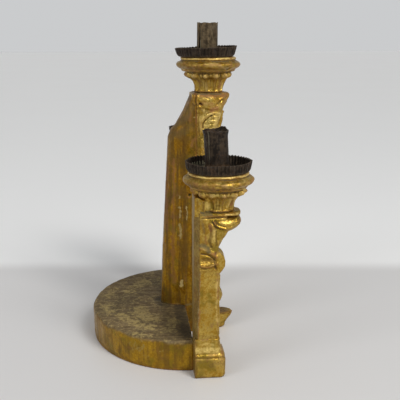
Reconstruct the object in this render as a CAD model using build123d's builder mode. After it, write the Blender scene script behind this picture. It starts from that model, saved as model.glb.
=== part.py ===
"""Three-light altar candlestick in carved and gilded wood, with sheet-iron drip pans and candle sockets.

A tall centre column and two lower side pilasters stand in one line along the flat front edge of a
half-round plinth. Each of the three carries a turned cup, a drip pan and a rolled candle socket.
The centre column is a rounded post behind and a carved pilaster in front, on a corbel foot.

Row frame: +Z up, +Y to the back, the front faces -Y. The origin is at the floor, under the centre
of the whole object's bounding box. Millimetres.
"""

import os

from build123d import *

os.makedirs("parts", exist_ok=True)

# Plinth: half an ellipse in plan, flat side to the front.
PLINTH_HALF_WIDTH = 114.0
PLINTH_DEPTH = 103.0
PLINTH_HEIGHT = 33.0

# Cup, drip pan and socket, the same on each of the three lights.
CUP_HEIGHT = 37.7
CUP_FOOT_RADIUS = 14.4
CUP_RING_RADIUS = 35.0
PAN_FLOOR_RADIUS = 28.5
PAN_RIM_RADIUS = 33.0
PAN_DEPTH = 11.0
PAN_SHEET = 0.9
SOCKET_BORE_RADIUS = 10.5
SOCKET_SHEET = 0.75
SOCKET_SLIT = 0.9
SOCKET_SLIT_ANGLE = 127.0
TAB_LENGTH = 4.5
TAB_WIDTH = 5.0
TAB_COUNT = 4

# Columns. The centre column reaches CENTRE_TOP, the side pilasters SIDE_TOP.
CENTRE_TOP = 272.0
SIDE_TOP = 170.0
SIDE_X = 117.0
CENTRE_SOCKET_LENGTH = 36.2
SIDE_SOCKET_LENGTH = 39.0

# Depths are measured from the plinth's flat front edge, negative towards the viewer.
CENTRE_AXIS_DEPTH = -27.0
SIDE_AXIS_DEPTH = -25.0
POST_FRONT_DEPTH = -14.0
POST_HALF_WIDTH = 17.0
POST_BACK_FOOT = 26.0
POST_BACK_TOP = 16.5
POST_BEND_HEIGHT = 226.0

SHAFT_WIDTH = 25.0
FOOT_WIDTH = 31.0
FOOT_DEPTH = 31.0
FOOT_BLOCK_HEIGHT = 21.5
FOOT_HEIGHT = 41.0
CENTRE_FOOT_HEIGHT = 28.0
CENTRE_LIP_WIDTH = 39.0
TOE_REACH = 56.5
TOE_HEIGHT = 19.0
TOE_HALF_WIDTH = 10.0

# Wooden dowels and iron nails, with a little room in their holes.
CUP_DOWEL_RADIUS = 4.0
CUP_DOWEL_HALF_LENGTH = 12.0
FRAME_DOWEL_RADIUS = 4.0
FOOT_DOWEL_RADIUS = 3.0
NAIL_RADIUS = 0.8
NAIL_LENGTH = 9.0
NAIL_HEAD_RADIUS = 1.9
NAIL_HEAD_HEIGHT = 0.9
HOLE_ROOM = 0.08

# The flat front edge of the plinth lies where the whole depth is centred on the origin.
CUP_REACH = CUP_RING_RADIUS - CENTRE_AXIS_DEPTH
FRONT_Y = (CUP_REACH - PLINTH_DEPTH) / 2

LIGHTS = {
    "left": (-SIDE_X, SIDE_AXIS_DEPTH, SIDE_TOP, SIDE_SOCKET_LENGTH),
    "centre": (0.0, CENTRE_AXIS_DEPTH, CENTRE_TOP, CENTRE_SOCKET_LENGTH),
    "right": (SIDE_X, SIDE_AXIS_DEPTH, SIDE_TOP, SIDE_SOCKET_LENGTH),
}
SIDES = {"left": -1, "right": 1}


def save(part, name):
    """Labels a finished piece and writes it as its own STEP file."""
    part.label = name
    export_step(part, f"parts/{name}.step")


def side_plane(x):
    """The plane of a side outline at x: local x is depth from the front edge, local y is height."""
    return Plane(origin=(x, FRONT_Y, 0), x_dir=(0, 1, 0), z_dir=(1, 0, 0))


def level_plane(height, x=0.0, depth=0.0):
    """A horizontal plane at a height, centred at x and at a depth from the plinth's front edge."""
    return Plane(origin=(x, FRONT_Y + depth, height))


def forward_plane(depth, x=0.0, height=0.0):
    """An upright plane at a depth that faces the front, with local y upwards."""
    return Plane(origin=(x, FRONT_Y + depth, height), x_dir=(1, 0, 0), z_dir=(0, -1, 0))


# --- Plinth -------------------------------------------------------------------------------------

FOOT_DOWEL_REACH = 12.0
FOOT_DOWEL_HEIGHTS = (9.0, 26.0)
FOOT_DOWEL_X = 109.0
POST_DOWEL_X = 7.5
POST_DOWEL_DEPTH = 9.0
POST_DOWEL_REACH = 15.0
LEG_DOWEL_HEIGHT = 10.0
LEG_DOWEL_X = 9.0
FRONT_DOWEL_HEIGHTS = (85.0, 145.0, 205.0)
FRONT_DOWEL_REACH = 12.0

with BuildPart() as plinth:
    with BuildSketch(level_plane(0)) as plinth_plan:
        Ellipse(PLINTH_HALF_WIDTH, PLINTH_DEPTH)
        with Locations((0, -PLINTH_DEPTH)):
            Rectangle(2 * PLINTH_HALF_WIDTH, 2 * PLINTH_DEPTH, mode=Mode.SUBTRACT)
    extrude(amount=PLINTH_HEIGHT)
    fillet(plinth.faces().sort_by(Axis.Z)[-1].edges(), radius=1.6)
    chamfer(plinth.faces().sort_by(Axis.Z)[0].edges(), length=0.8)
    # Blind holes for the post's upright dowels, then for the dowels that enter the front edge.
    with Locations(level_plane(PLINTH_HEIGHT, 0, POST_DOWEL_DEPTH)):
        with GridLocations(2 * POST_DOWEL_X, 0, 2, 1):
            Hole(FRAME_DOWEL_RADIUS + HOLE_ROOM, depth=POST_DOWEL_REACH)
    for height in FOOT_DOWEL_HEIGHTS:
        with Locations(forward_plane(0, 0, height)):
            with GridLocations(2 * FOOT_DOWEL_X, 0, 2, 1):
                Hole(FOOT_DOWEL_RADIUS + HOLE_ROOM, depth=FOOT_DOWEL_REACH)
    with Locations(forward_plane(0, 0, LEG_DOWEL_HEIGHT)):
        with GridLocations(2 * LEG_DOWEL_X, 0, 2, 1):
            Hole(FRAME_DOWEL_RADIUS + HOLE_ROOM, depth=FOOT_DOWEL_REACH)
save(plinth.part, "plinth")


# --- Rear post ----------------------------------------------------------------------------------

POST_LEG_DEPTH = POST_FRONT_DEPTH

# The rounded back at each height: height, where the rounding starts, rearmost point.
POST_SECTIONS = (
    (PLINTH_HEIGHT, -3.0, POST_BACK_FOOT),
    (POST_BEND_HEIGHT, -3.0, POST_BACK_TOP),
    (POST_BEND_HEIGHT + 10.0, -6.0, 9.0),
    (POST_BEND_HEIGHT + 26.0, -10.5, -0.5),
    (CENTRE_TOP, -13.0, -9.9),
)

with BuildPart() as post:
    # The upright leans forwards a little as it rises, then slopes sharply forwards to the cup.
    for lower, upper in zip(POST_SECTIONS, POST_SECTIONS[1:]):
        for height, start, back in (lower, upper):
            with BuildSketch(level_plane(height)) as post_plan:
                with BuildLine():
                    Line((-POST_HALF_WIDTH, start), (-POST_HALF_WIDTH, POST_FRONT_DEPTH))
                    Line((-POST_HALF_WIDTH, POST_FRONT_DEPTH), (POST_HALF_WIDTH, POST_FRONT_DEPTH))
                    Line((POST_HALF_WIDTH, POST_FRONT_DEPTH), (POST_HALF_WIDTH, start))
                    rounding = (back - start) * 4 / 3
                    Bezier(
                        (POST_HALF_WIDTH, start),
                        (POST_HALF_WIDTH, start + rounding),
                        (-POST_HALF_WIDTH, start + rounding),
                        (-POST_HALF_WIDTH, start),
                    )
                make_face()
        loft(ruled=True)
    # A leg goes down in front of the plinth to the floor.
    with BuildSketch(side_plane(0)) as post_leg:
        with BuildLine():
            Polyline(
                (0, 0),
                (POST_LEG_DEPTH, 0),
                (POST_LEG_DEPTH, PLINTH_HEIGHT),
                (0, PLINTH_HEIGHT),
                close=True,
            )
        make_face()
    extrude(amount=POST_HALF_WIDTH, both=True)
    with Locations(level_plane(PLINTH_HEIGHT, 0, POST_DOWEL_DEPTH).rotated((180, 0, 0))):
        with GridLocations(2 * POST_DOWEL_X, 0, 2, 1):
            Hole(FRAME_DOWEL_RADIUS + HOLE_ROOM, depth=POST_DOWEL_REACH)
    with Locations(forward_plane(POST_LEG_DEPTH, 0, LEG_DOWEL_HEIGHT)):
        with GridLocations(2 * LEG_DOWEL_X, 0, 2, 1):
            Hole(FRAME_DOWEL_RADIUS + HOLE_ROOM, depth=-POST_LEG_DEPTH)
    for height in FRONT_DOWEL_HEIGHTS:
        with Locations(forward_plane(POST_FRONT_DEPTH, 0, height)):
            Hole(FRAME_DOWEL_RADIUS + HOLE_ROOM, depth=FRONT_DOWEL_REACH)
save(post.part, "rear_post")


# --- Centre pilaster and its foot ---------------------------------------------------------------

CENTRE_SHAFT_FRONT = -37.0
CENTRE_TENON = (14.0, 12.0, 14.0)
CENTRE_TENON_DEPTH = -26.0

# The leaf lip under the centre cup: a curled tongue, round in plan.
with BuildPart() as centre_lip:
    with BuildSketch(side_plane(0)) as lip_outline:
        with BuildLine():
            Line((-16, CENTRE_TOP), (-16, 260))
            ThreePointArc((-16, 260), (-31, 252.5), (-45, 256))
            ThreePointArc((-45, 256), (-49, 262), (-51.4, 267.5))
            ThreePointArc((-51.4, 267.5), (-50.4, 270.8), (-46, CENTRE_TOP))
            Line((-46, CENTRE_TOP), (-16, CENTRE_TOP))
        make_face()
    extrude(amount=CENTRE_LIP_WIDTH / 2, both=True)
    with BuildSketch(level_plane(0)) as lip_plan:
        with BuildLine():
            Line((-CENTRE_LIP_WIDTH / 2, -10), (-CENTRE_LIP_WIDTH / 2, -33))
            ThreePointArc((-CENTRE_LIP_WIDTH / 2, -33), (0, -51.4), (CENTRE_LIP_WIDTH / 2, -33))
            Line((CENTRE_LIP_WIDTH / 2, -33), (CENTRE_LIP_WIDTH / 2, -10))
            Line((CENTRE_LIP_WIDTH / 2, -10), (-CENTRE_LIP_WIDTH / 2, -10))
        make_face()
    extrude(amount=CENTRE_TOP, mode=Mode.INTERSECT)

with BuildPart() as centre_pilaster:
    with BuildSketch(side_plane(0)) as centre_outline:
        with BuildLine():
            Line((POST_FRONT_DEPTH, CENTRE_TOP), (POST_FRONT_DEPTH, CENTRE_FOOT_HEIGHT))
            Line((POST_FRONT_DEPTH, CENTRE_FOOT_HEIGHT), (-37, CENTRE_FOOT_HEIGHT))
            Line((-37, CENTRE_FOOT_HEIGHT), (-37, 31))
            ThreePointArc((-37, 31), (-43.6, 40.5), (-37, 50))
            Line((-37, 50), (CENTRE_SHAFT_FRONT, 158))
            ThreePointArc((CENTRE_SHAFT_FRONT, 158), (-43.5, 171), (CENTRE_SHAFT_FRONT + 1, 184))
            ThreePointArc((CENTRE_SHAFT_FRONT + 1, 184), (-34.4, 210), (-38, 236))
            ThreePointArc((-38, 236), (-42.5, 250), (-46, 264))
            Line((-46, 264), (-46, CENTRE_TOP))
            Line((-46, CENTRE_TOP), (POST_FRONT_DEPTH, CENTRE_TOP))
        make_face()
    extrude(amount=POST_HALF_WIDTH - 1, both=True)
    # The front corners of the shaft are well rounded off.
    with BuildSketch(level_plane(0)) as centre_plan:
        with Locations((0, -26)):
            RectangleRounded(2 * POST_HALF_WIDTH - 2, 44, radius=11)
        with Locations((0, -9)):
            Rectangle(2 * POST_HALF_WIDTH - 2, 22)
    extrude(amount=CENTRE_TOP, mode=Mode.INTERSECT)
    # Two knots stand a little wider than the shaft.
    for low, high, reach in ((30.5, 50.5, -40.0), (159.0, 183.0, -41.0)):
        with BuildSketch(side_plane(0)) as centre_knot:
            with BuildLine():
                Line((-18, high), (-18, low))
                Line((-18, low), (-32, low))
                ThreePointArc((-32, low), (reach, (low + high) / 2), (-32, high))
                Line((-32, high), (-18, high))
            make_face()
        extrude(amount=POST_HALF_WIDTH - 0.2, both=True)
    add(centre_lip.part)
    # The tenon under the shaft and the socket for the cup's dowel.
    with BuildSketch(level_plane(CENTRE_FOOT_HEIGHT, 0, CENTRE_TENON_DEPTH)) as centre_tenon:
        Rectangle(CENTRE_TENON[0], CENTRE_TENON[1])
    extrude(amount=-CENTRE_TENON[2])
    with Locations(level_plane(CENTRE_TOP, 0, CENTRE_AXIS_DEPTH)):
        Hole(CUP_DOWEL_RADIUS + HOLE_ROOM, depth=CUP_DOWEL_HALF_LENGTH + 0.5)
    for height in FRONT_DOWEL_HEIGHTS:
        with Locations(forward_plane(POST_FRONT_DEPTH, 0, height).rotated((0, 180, 0))):
            Hole(FRAME_DOWEL_RADIUS + HOLE_ROOM, depth=FRONT_DOWEL_REACH)
save(centre_pilaster.part, "centre_pilaster")

with BuildPart() as centre_foot:
    with BuildSketch(level_plane(0, 0, (POST_FRONT_DEPTH - 38) / 2)) as foot_plan:
        Rectangle(2 * POST_HALF_WIDTH, 38 + POST_FRONT_DEPTH)
    extrude(amount=CENTRE_FOOT_HEIGHT)
    fillet(centre_foot.edges().filter_by(Axis.Z).group_by(Axis.Y)[0], radius=5)
    # A tongue-shaped toe flares forwards from the floor up to a flat top.
    with BuildSketch(level_plane(0)) as toe_bottom:
        with BuildLine():
            Line((-9, -30), (-9, -41))
            ThreePointArc((-9, -41), (0, -48.5), (9, -41))
            Line((9, -41), (9, -30))
            Line((9, -30), (-9, -30))
        make_face()
    with BuildSketch(level_plane(TOE_HEIGHT - 2.5)) as toe_top:
        with BuildLine():
            Line((-TOE_HALF_WIDTH, -30), (-TOE_HALF_WIDTH, -44))
            ThreePointArc((-TOE_HALF_WIDTH, -44), (0, -TOE_REACH), (TOE_HALF_WIDTH, -44))
            Line((TOE_HALF_WIDTH, -44), (TOE_HALF_WIDTH, -30))
            Line((TOE_HALF_WIDTH, -30), (-TOE_HALF_WIDTH, -30))
        make_face()
    loft()
    with BuildSketch(level_plane(TOE_HEIGHT - 2.5)) as toe_rim:
        with BuildLine():
            Line((-TOE_HALF_WIDTH, -30), (-TOE_HALF_WIDTH, -44))
            ThreePointArc((-TOE_HALF_WIDTH, -44), (0, -TOE_REACH), (TOE_HALF_WIDTH, -44))
            Line((TOE_HALF_WIDTH, -44), (TOE_HALF_WIDTH, -30))
            Line((TOE_HALF_WIDTH, -30), (-TOE_HALF_WIDTH, -30))
        make_face()
    extrude(amount=2.5)
    with BuildSketch(level_plane(CENTRE_FOOT_HEIGHT, 0, CENTRE_TENON_DEPTH)) as corbel_mortise:
        Rectangle(CENTRE_TENON[0] + 0.2, CENTRE_TENON[1] + 0.2)
    extrude(amount=-CENTRE_TENON[2] - 0.5, mode=Mode.SUBTRACT)
    with Locations(forward_plane(POST_FRONT_DEPTH, 0, LEG_DOWEL_HEIGHT).rotated((0, 180, 0))):
        with GridLocations(2 * LEG_DOWEL_X, 0, 2, 1):
            Hole(FRAME_DOWEL_RADIUS + HOLE_ROOM, depth=5)
save(centre_foot.part, "centre_foot")


# --- Side pilasters and their feet --------------------------------------------------------------

SIDE_TENON = (12.0, 12.0, 10.0)
SIDE_TENON_DEPTH = -12.0
BACK_CHAMFER_WIDTH = 8.0
BACK_CHAMFER_DEPTH = 5.0


LIP_HALF_WIDTH = SHAFT_WIDTH / 2 + 3.0
LIP_TIP = 45.2


def make_side_lip(x):
    """The leaf lip under a side cup: a rolled bulb with a flat leaf on top, round in plan."""
    with BuildPart() as lip:
        with BuildSketch(side_plane(x)):
            with BuildLine():
                ThreePointArc((-15, 161), (-20, 154), (-30, 150.8))
                ThreePointArc((-30, 150.8), (-45.2, 154.6), (-41.5, 162))
                ThreePointArc((-41.5, 162), (-45.2, 165.4), (-42, SIDE_TOP))
                Line((-42, SIDE_TOP), (-9.5, SIDE_TOP))
                Line((-9.5, SIDE_TOP), (-9.5, 165))
                Line((-9.5, 165), (-15, 161))
            make_face()
        extrude(amount=LIP_HALF_WIDTH, both=True)
        with BuildSketch(level_plane(0, x)):
            with BuildLine():
                Line((-LIP_HALF_WIDTH, 0), (-LIP_HALF_WIDTH, -30))
                ThreePointArc((-LIP_HALF_WIDTH, -30), (0, -LIP_TIP), (LIP_HALF_WIDTH, -30))
                Line((LIP_HALF_WIDTH, -30), (LIP_HALF_WIDTH, 0))
                Line((LIP_HALF_WIDTH, 0), (-LIP_HALF_WIDTH, 0))
            make_face()
        extrude(amount=SIDE_TOP, mode=Mode.INTERSECT)
    return lip.part


def make_side_pilaster(side):
    """A shaft with a knot, a leaf lip under the cup and a slab that rises behind the cup's neck."""
    x = side * SIDE_X
    lip = make_side_lip(x)
    with BuildPart() as pilaster:
        with BuildSketch(side_plane(x)):
            with BuildLine():
                Line((0, SIDE_TOP + 15.5), (0, FOOT_HEIGHT))
                Line((0, FOOT_HEIGHT), (-25, FOOT_HEIGHT))
                Line((-25, FOOT_HEIGHT), (-23.8, 54))
                Line((-23.8, 54), (-23.8, 109.5))
                ThreePointArc((-23.8, 109.5), (-30, 121), (-23.4, 131.5))
                ThreePointArc((-23.4, 131.5), (-25.8, 142), (-30, 151))
                Line((-30, 151), (-30, SIDE_TOP))
                Line((-30, SIDE_TOP), (-8.5, SIDE_TOP))
                Line((-8.5, SIDE_TOP), (-8.4, SIDE_TOP + 11))
                Line((-8.4, SIDE_TOP + 11), (-3.6, SIDE_TOP + 15.5))
                Line((-3.6, SIDE_TOP + 15.5), (0, SIDE_TOP + 15.5))
            make_face()
        extrude(amount=SHAFT_WIDTH / 2, both=True)
        # Wide chamfers lighten the back, up the whole height.
        with BuildSketch(level_plane(FOOT_HEIGHT, x, 0)):
            for flank in (-1, 1):
                with BuildLine():
                    Polyline(
                        (flank * SHAFT_WIDTH / 2, 0),
                        (flank * (SHAFT_WIDTH / 2 - BACK_CHAMFER_WIDTH), 0),
                        (flank * SHAFT_WIDTH / 2, -BACK_CHAMFER_DEPTH),
                        close=True,
                    )
                make_face()
        extrude(amount=SIDE_TOP, mode=Mode.SUBTRACT)
        # The knot is a band that slopes down to the back, and stands a little wider than the shaft.
        with BuildSketch(side_plane(x)):
            with BuildLine():
                Line((-6.5, 130), (-6.5, 112.5))
                Line((-6.5, 112.5), (-23.8, 109.5))
                ThreePointArc((-23.8, 109.5), (-30, 121), (-23.4, 131.5))
                Line((-23.4, 131.5), (-6.5, 130))
            make_face()
        extrude(amount=SHAFT_WIDTH / 2 + 1.0, both=True)
        add(lip)
        with BuildSketch(level_plane(FOOT_HEIGHT, x, SIDE_TENON_DEPTH)):
            Rectangle(SIDE_TENON[0], SIDE_TENON[1])
        extrude(amount=-SIDE_TENON[2])
        with Locations(level_plane(SIDE_TOP, x, SIDE_AXIS_DEPTH)):
            Hole(CUP_DOWEL_RADIUS + HOLE_ROOM, depth=CUP_DOWEL_HALF_LENGTH + 0.5)
    return pilaster.part


def make_side_foot(side):
    """A square block with a cavetto above it, which narrows to the shaft."""
    x = side * SIDE_X
    with BuildPart() as foot:
        with BuildSketch(level_plane(0, x, -FOOT_DEPTH / 2)):
            Rectangle(FOOT_WIDTH, FOOT_DEPTH)
        extrude(amount=FOOT_BLOCK_HEIGHT)
        front_edges = foot.edges().filter_by(Axis.Z).group_by(Axis.Y)[0]
        fillet(front_edges, radius=2.0)
        # The cavetto: a stepped neck with concave sides, cut on the front and on both flanks.
        with BuildSketch(level_plane(FOOT_BLOCK_HEIGHT, x, -14.8)):
            Rectangle(FOOT_WIDTH - 2.0, 29.6)
        extrude(amount=FOOT_HEIGHT - FOOT_BLOCK_HEIGHT)
        cove = FOOT_HEIGHT - FOOT_BLOCK_HEIGHT - 3.0
        for flank in (-1, 1):
            with BuildSketch(forward_plane(1.0, x)):
                with BuildLine():
                    low = (flank * (FOOT_WIDTH / 2 - 1), FOOT_BLOCK_HEIGHT + 2.2)
                    high = (flank * (SHAFT_WIDTH / 2 + 0.3), FOOT_BLOCK_HEIGHT + 2.2 + cove)
                    middle = (flank * (SHAFT_WIDTH / 2 + 0.2), FOOT_BLOCK_HEIGHT + 8.5)
                    ThreePointArc(low, middle, high)
                    Line(high, (flank * (SHAFT_WIDTH / 2 + 0.3), FOOT_HEIGHT + 1))
                    Line((flank * (SHAFT_WIDTH / 2 + 0.3), FOOT_HEIGHT + 1), (flank * 20, FOOT_HEIGHT + 1))
                    Line((flank * 20, FOOT_HEIGHT + 1), (flank * 20, FOOT_BLOCK_HEIGHT + 2.2))
                    Line((flank * 20, FOOT_BLOCK_HEIGHT + 2.2), low)
                make_face()
            extrude(amount=40, mode=Mode.SUBTRACT)
        with BuildSketch(side_plane(x)):
            with BuildLine():
                low = (-29.6, FOOT_BLOCK_HEIGHT + 2.2)
                high = (-25.2, FOOT_BLOCK_HEIGHT + 2.2 + cove)
                ThreePointArc(low, (-25.1, FOOT_BLOCK_HEIGHT + 8.5), high)
                Line(high, (-25.2, FOOT_HEIGHT + 1))
                Line((-25.2, FOOT_HEIGHT + 1), (-40, FOOT_HEIGHT + 1))
                Line((-40, FOOT_HEIGHT + 1), (-40, FOOT_BLOCK_HEIGHT + 2.2))
                Line((-40, FOOT_BLOCK_HEIGHT + 2.2), low)
            make_face()
        extrude(amount=30, both=True, mode=Mode.SUBTRACT)
        with BuildSketch(level_plane(FOOT_HEIGHT, x, SIDE_TENON_DEPTH)):
            Rectangle(SIDE_TENON[0] + 0.2, SIDE_TENON[1] + 0.2)
        extrude(amount=-SIDE_TENON[2] - 0.5, mode=Mode.SUBTRACT)
        for height in FOOT_DOWEL_HEIGHTS:
            with Locations(forward_plane(0, side * FOOT_DOWEL_X, height).rotated((0, 180, 0))):
                Hole(FOOT_DOWEL_RADIUS + HOLE_ROOM, depth=FOOT_DOWEL_REACH)
    return foot.part


for side_name, side in SIDES.items():
    save(make_side_pilaster(side), f"{side_name}_pilaster")
    save(make_side_foot(side), f"{side_name}_foot")


# --- Lights: cups, drip pans, sockets, nails and dowels -------------------------------------------

NAIL_CIRCLE = SOCKET_BORE_RADIUS + SOCKET_SHEET + TAB_LENGTH / 2 + 0.2
CUP_TOP_RADIUS = 29.0


def make_cup(x, depth, base):
    """A turned cup: a flared neck, a ring of small lobes, a broad torus and a flat top for the pan."""
    with BuildPart() as cup:
        with BuildSketch(Plane(origin=(x, FRONT_Y + depth, base), x_dir=(1, 0, 0), z_dir=(0, -1, 0))):
            with BuildLine():
                Line((0, 0), (CUP_FOOT_RADIUS, 0))
                Line((CUP_FOOT_RADIUS, 0), (CUP_FOOT_RADIUS + 0.4, 4))
                ThreePointArc((CUP_FOOT_RADIUS + 0.4, 4), (16.4, 11.5), (21.5, 16.5))
                ThreePointArc((21.5, 16.5), (26.2, 18.5), (24.6, 21.5))
                Line((24.6, 21.5), (28.4, 22.4))
                Line((28.4, 22.4), (29.6, 25))
                ThreePointArc((29.6, 25), (CUP_RING_RADIUS, 29.6), (30.4, 33.8))
                Line((30.4, 33.8), (CUP_TOP_RADIUS + 0.3, 34.4))
                Line((CUP_TOP_RADIUS + 0.3, 34.4), (CUP_TOP_RADIUS, CUP_HEIGHT))
                Line((CUP_TOP_RADIUS, CUP_HEIGHT), (0, CUP_HEIGHT))
                Line((0, CUP_HEIGHT), (0, 0))
            make_face()
        revolve(axis=Axis((x, FRONT_Y + depth, 0), (0, 0, 1)))
        with Locations(level_plane(base, x, depth).rotated((180, 0, 0))):
            Hole(CUP_DOWEL_RADIUS + HOLE_ROOM, depth=CUP_DOWEL_HALF_LENGTH + 0.5)
        with Locations(level_plane(base + CUP_HEIGHT, x, depth)):
            with PolarLocations(NAIL_CIRCLE, TAB_COUNT):
                Hole(NAIL_RADIUS + HOLE_ROOM, depth=NAIL_LENGTH)
    return cup.part


def make_pan(x, depth, base):
    """A shallow sheet-iron dish with a flared wall, pierced for the nails."""
    with BuildPart() as pan:
        with BuildSketch(Plane(origin=(x, FRONT_Y + depth, base), x_dir=(1, 0, 0), z_dir=(0, -1, 0))):
            with BuildLine():
                Polyline(
                    (0, 0),
                    (PAN_FLOOR_RADIUS, 0),
                    (PAN_RIM_RADIUS, PAN_DEPTH),
                    (PAN_RIM_RADIUS - PAN_SHEET, PAN_DEPTH),
                    (PAN_FLOOR_RADIUS - PAN_SHEET, PAN_SHEET),
                    (0, PAN_SHEET),
                    close=True,
                )
            make_face()
        revolve(axis=Axis((x, FRONT_Y + depth, 0), (0, 0, 1)))
        with Locations(level_plane(base + PAN_SHEET, x, depth)):
            with PolarLocations(NAIL_CIRCLE, TAB_COUNT):
                Hole(NAIL_RADIUS + HOLE_ROOM, depth=PAN_SHEET)
    return pan.part


def make_socket(x, depth, base, length, slit_angle):
    """A rolled tube whose edges almost meet in an upright seam, with tabs turned out at its foot."""
    outer = SOCKET_BORE_RADIUS + SOCKET_SHEET
    with BuildPart() as socket:
        with BuildSketch(level_plane(base, x, depth)):
            Circle(outer)
            with PolarLocations(outer + TAB_LENGTH / 2 - 1.0, TAB_COUNT):
                Rectangle(TAB_LENGTH + 2.0, TAB_WIDTH)
            Circle(SOCKET_BORE_RADIUS, mode=Mode.SUBTRACT)
        extrude(amount=SOCKET_SHEET)
        with BuildSketch(level_plane(base, x, depth)):
            Circle(outer)
            Circle(SOCKET_BORE_RADIUS, mode=Mode.SUBTRACT)
        extrude(amount=length)
        with BuildSketch(level_plane(base, x, depth)):
            with PolarLocations(SOCKET_BORE_RADIUS, 1, start_angle=slit_angle):
                Rectangle(4.0, SOCKET_SLIT)
        extrude(amount=length, mode=Mode.SUBTRACT)
        with Locations(level_plane(base + SOCKET_SHEET, x, depth)):
            with PolarLocations(NAIL_CIRCLE, TAB_COUNT):
                Hole(NAIL_RADIUS + HOLE_ROOM, depth=SOCKET_SHEET)
    return socket.part


def make_nails(x, depth, seat):
    """One nail for each tab, with a domed head that bears on the tab."""
    with BuildPart() as nails:
        with BuildSketch(level_plane(seat, x, depth)):
            with PolarLocations(NAIL_CIRCLE, TAB_COUNT):
                Circle(NAIL_RADIUS)
        extrude(amount=-NAIL_LENGTH + 0.5)
        with BuildSketch(level_plane(seat, x, depth)):
            with PolarLocations(NAIL_CIRCLE, TAB_COUNT):
                Circle(NAIL_HEAD_RADIUS)
        extrude(amount=NAIL_HEAD_HEIGHT, taper=25)
    return nails.part


def make_upright_dowel(x, depth, middle, radius, half_length):
    """A round wooden dowel on an upright axis."""
    with BuildPart() as dowel:
        with BuildSketch(level_plane(middle - half_length, x, depth)):
            Circle(radius)
        extrude(amount=2 * half_length)
        chamfer(dowel.edges(), length=0.6)
    return dowel.part


for light_name, (light_x, light_depth, top, socket_length) in LIGHTS.items():
    pan_base = top + CUP_HEIGHT
    socket_base = pan_base + PAN_SHEET
    save(make_cup(light_x, light_depth, top), f"{light_name}_cup")
    save(make_pan(light_x, light_depth, pan_base), f"{light_name}_drip_pan")
    slit = 180 - SOCKET_SLIT_ANGLE if light_name == "right" else SOCKET_SLIT_ANGLE
    socket = make_socket(light_x, light_depth, socket_base, socket_length, slit)
    save(socket, f"{light_name}_candle_socket")
    save(make_nails(light_x, light_depth, socket_base + SOCKET_SHEET), f"{light_name}_socket_nails")
    save(
        make_upright_dowel(light_x, light_depth, top, CUP_DOWEL_RADIUS, CUP_DOWEL_HALF_LENGTH),
        f"{light_name}_cup_dowel",
    )


# --- Frame dowels -------------------------------------------------------------------------------

with BuildPart() as post_dowels:
    with BuildSketch(level_plane(PLINTH_HEIGHT - POST_DOWEL_REACH + 0.5, 0, POST_DOWEL_DEPTH)):
        with GridLocations(2 * POST_DOWEL_X, 0, 2, 1):
            Circle(FRAME_DOWEL_RADIUS)
    extrude(amount=2 * POST_DOWEL_REACH - 1)
save(post_dowels.part, "post_dowels")

with BuildPart() as leg_dowels:
    with BuildSketch(forward_plane(FOOT_DOWEL_REACH - 0.5, 0, LEG_DOWEL_HEIGHT)):
        with GridLocations(2 * LEG_DOWEL_X, 0, 2, 1):
            Circle(FRAME_DOWEL_RADIUS)
    extrude(amount=FOOT_DOWEL_REACH - POST_FRONT_DEPTH + 4)
save(leg_dowels.part, "leg_dowels")

with BuildPart() as foot_dowels:
    for height in FOOT_DOWEL_HEIGHTS:
        with BuildSketch(forward_plane(FOOT_DOWEL_REACH - 0.5, 0, height)):
            with GridLocations(2 * FOOT_DOWEL_X, 0, 2, 1):
                Circle(FOOT_DOWEL_RADIUS)
        extrude(amount=2 * FOOT_DOWEL_REACH - 1)
save(foot_dowels.part, "foot_dowels")

with BuildPart() as front_dowels:
    for height in FRONT_DOWEL_HEIGHTS:
        with BuildSketch(forward_plane(POST_FRONT_DEPTH + FRONT_DOWEL_REACH - 0.5, 0, height)):
            Circle(FRAME_DOWEL_RADIUS)
        extrude(amount=2 * FRONT_DOWEL_REACH - 1)
save(front_dowels.part, "front_dowels")
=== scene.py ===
"""Looks for the three-light altar candlestick: carved and gilded wood with rusted sheet-iron fittings.

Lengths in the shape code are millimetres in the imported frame: +Z up, -Y to the front, +X along the lights.
"""

import math

import bmesh
import bpy
import numpy as np
from mathutils import Matrix, Vector


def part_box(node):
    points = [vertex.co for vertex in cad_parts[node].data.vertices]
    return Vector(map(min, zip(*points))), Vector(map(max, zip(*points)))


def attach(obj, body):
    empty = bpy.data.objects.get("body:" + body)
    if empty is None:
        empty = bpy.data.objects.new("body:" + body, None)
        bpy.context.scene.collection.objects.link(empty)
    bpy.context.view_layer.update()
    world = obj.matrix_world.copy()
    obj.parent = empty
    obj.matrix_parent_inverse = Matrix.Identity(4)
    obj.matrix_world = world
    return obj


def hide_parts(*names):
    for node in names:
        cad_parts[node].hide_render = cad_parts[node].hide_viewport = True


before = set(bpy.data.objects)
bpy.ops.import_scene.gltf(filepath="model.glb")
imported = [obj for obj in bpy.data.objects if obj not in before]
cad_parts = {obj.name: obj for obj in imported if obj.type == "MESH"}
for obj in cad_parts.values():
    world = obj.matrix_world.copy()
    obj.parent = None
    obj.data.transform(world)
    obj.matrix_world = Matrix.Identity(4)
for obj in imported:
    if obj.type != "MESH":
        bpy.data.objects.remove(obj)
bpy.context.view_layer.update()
MM = 0.001


def mm_box(node):
    low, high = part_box(node)
    return np.array(low) / MM, np.array(high) / MM


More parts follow.
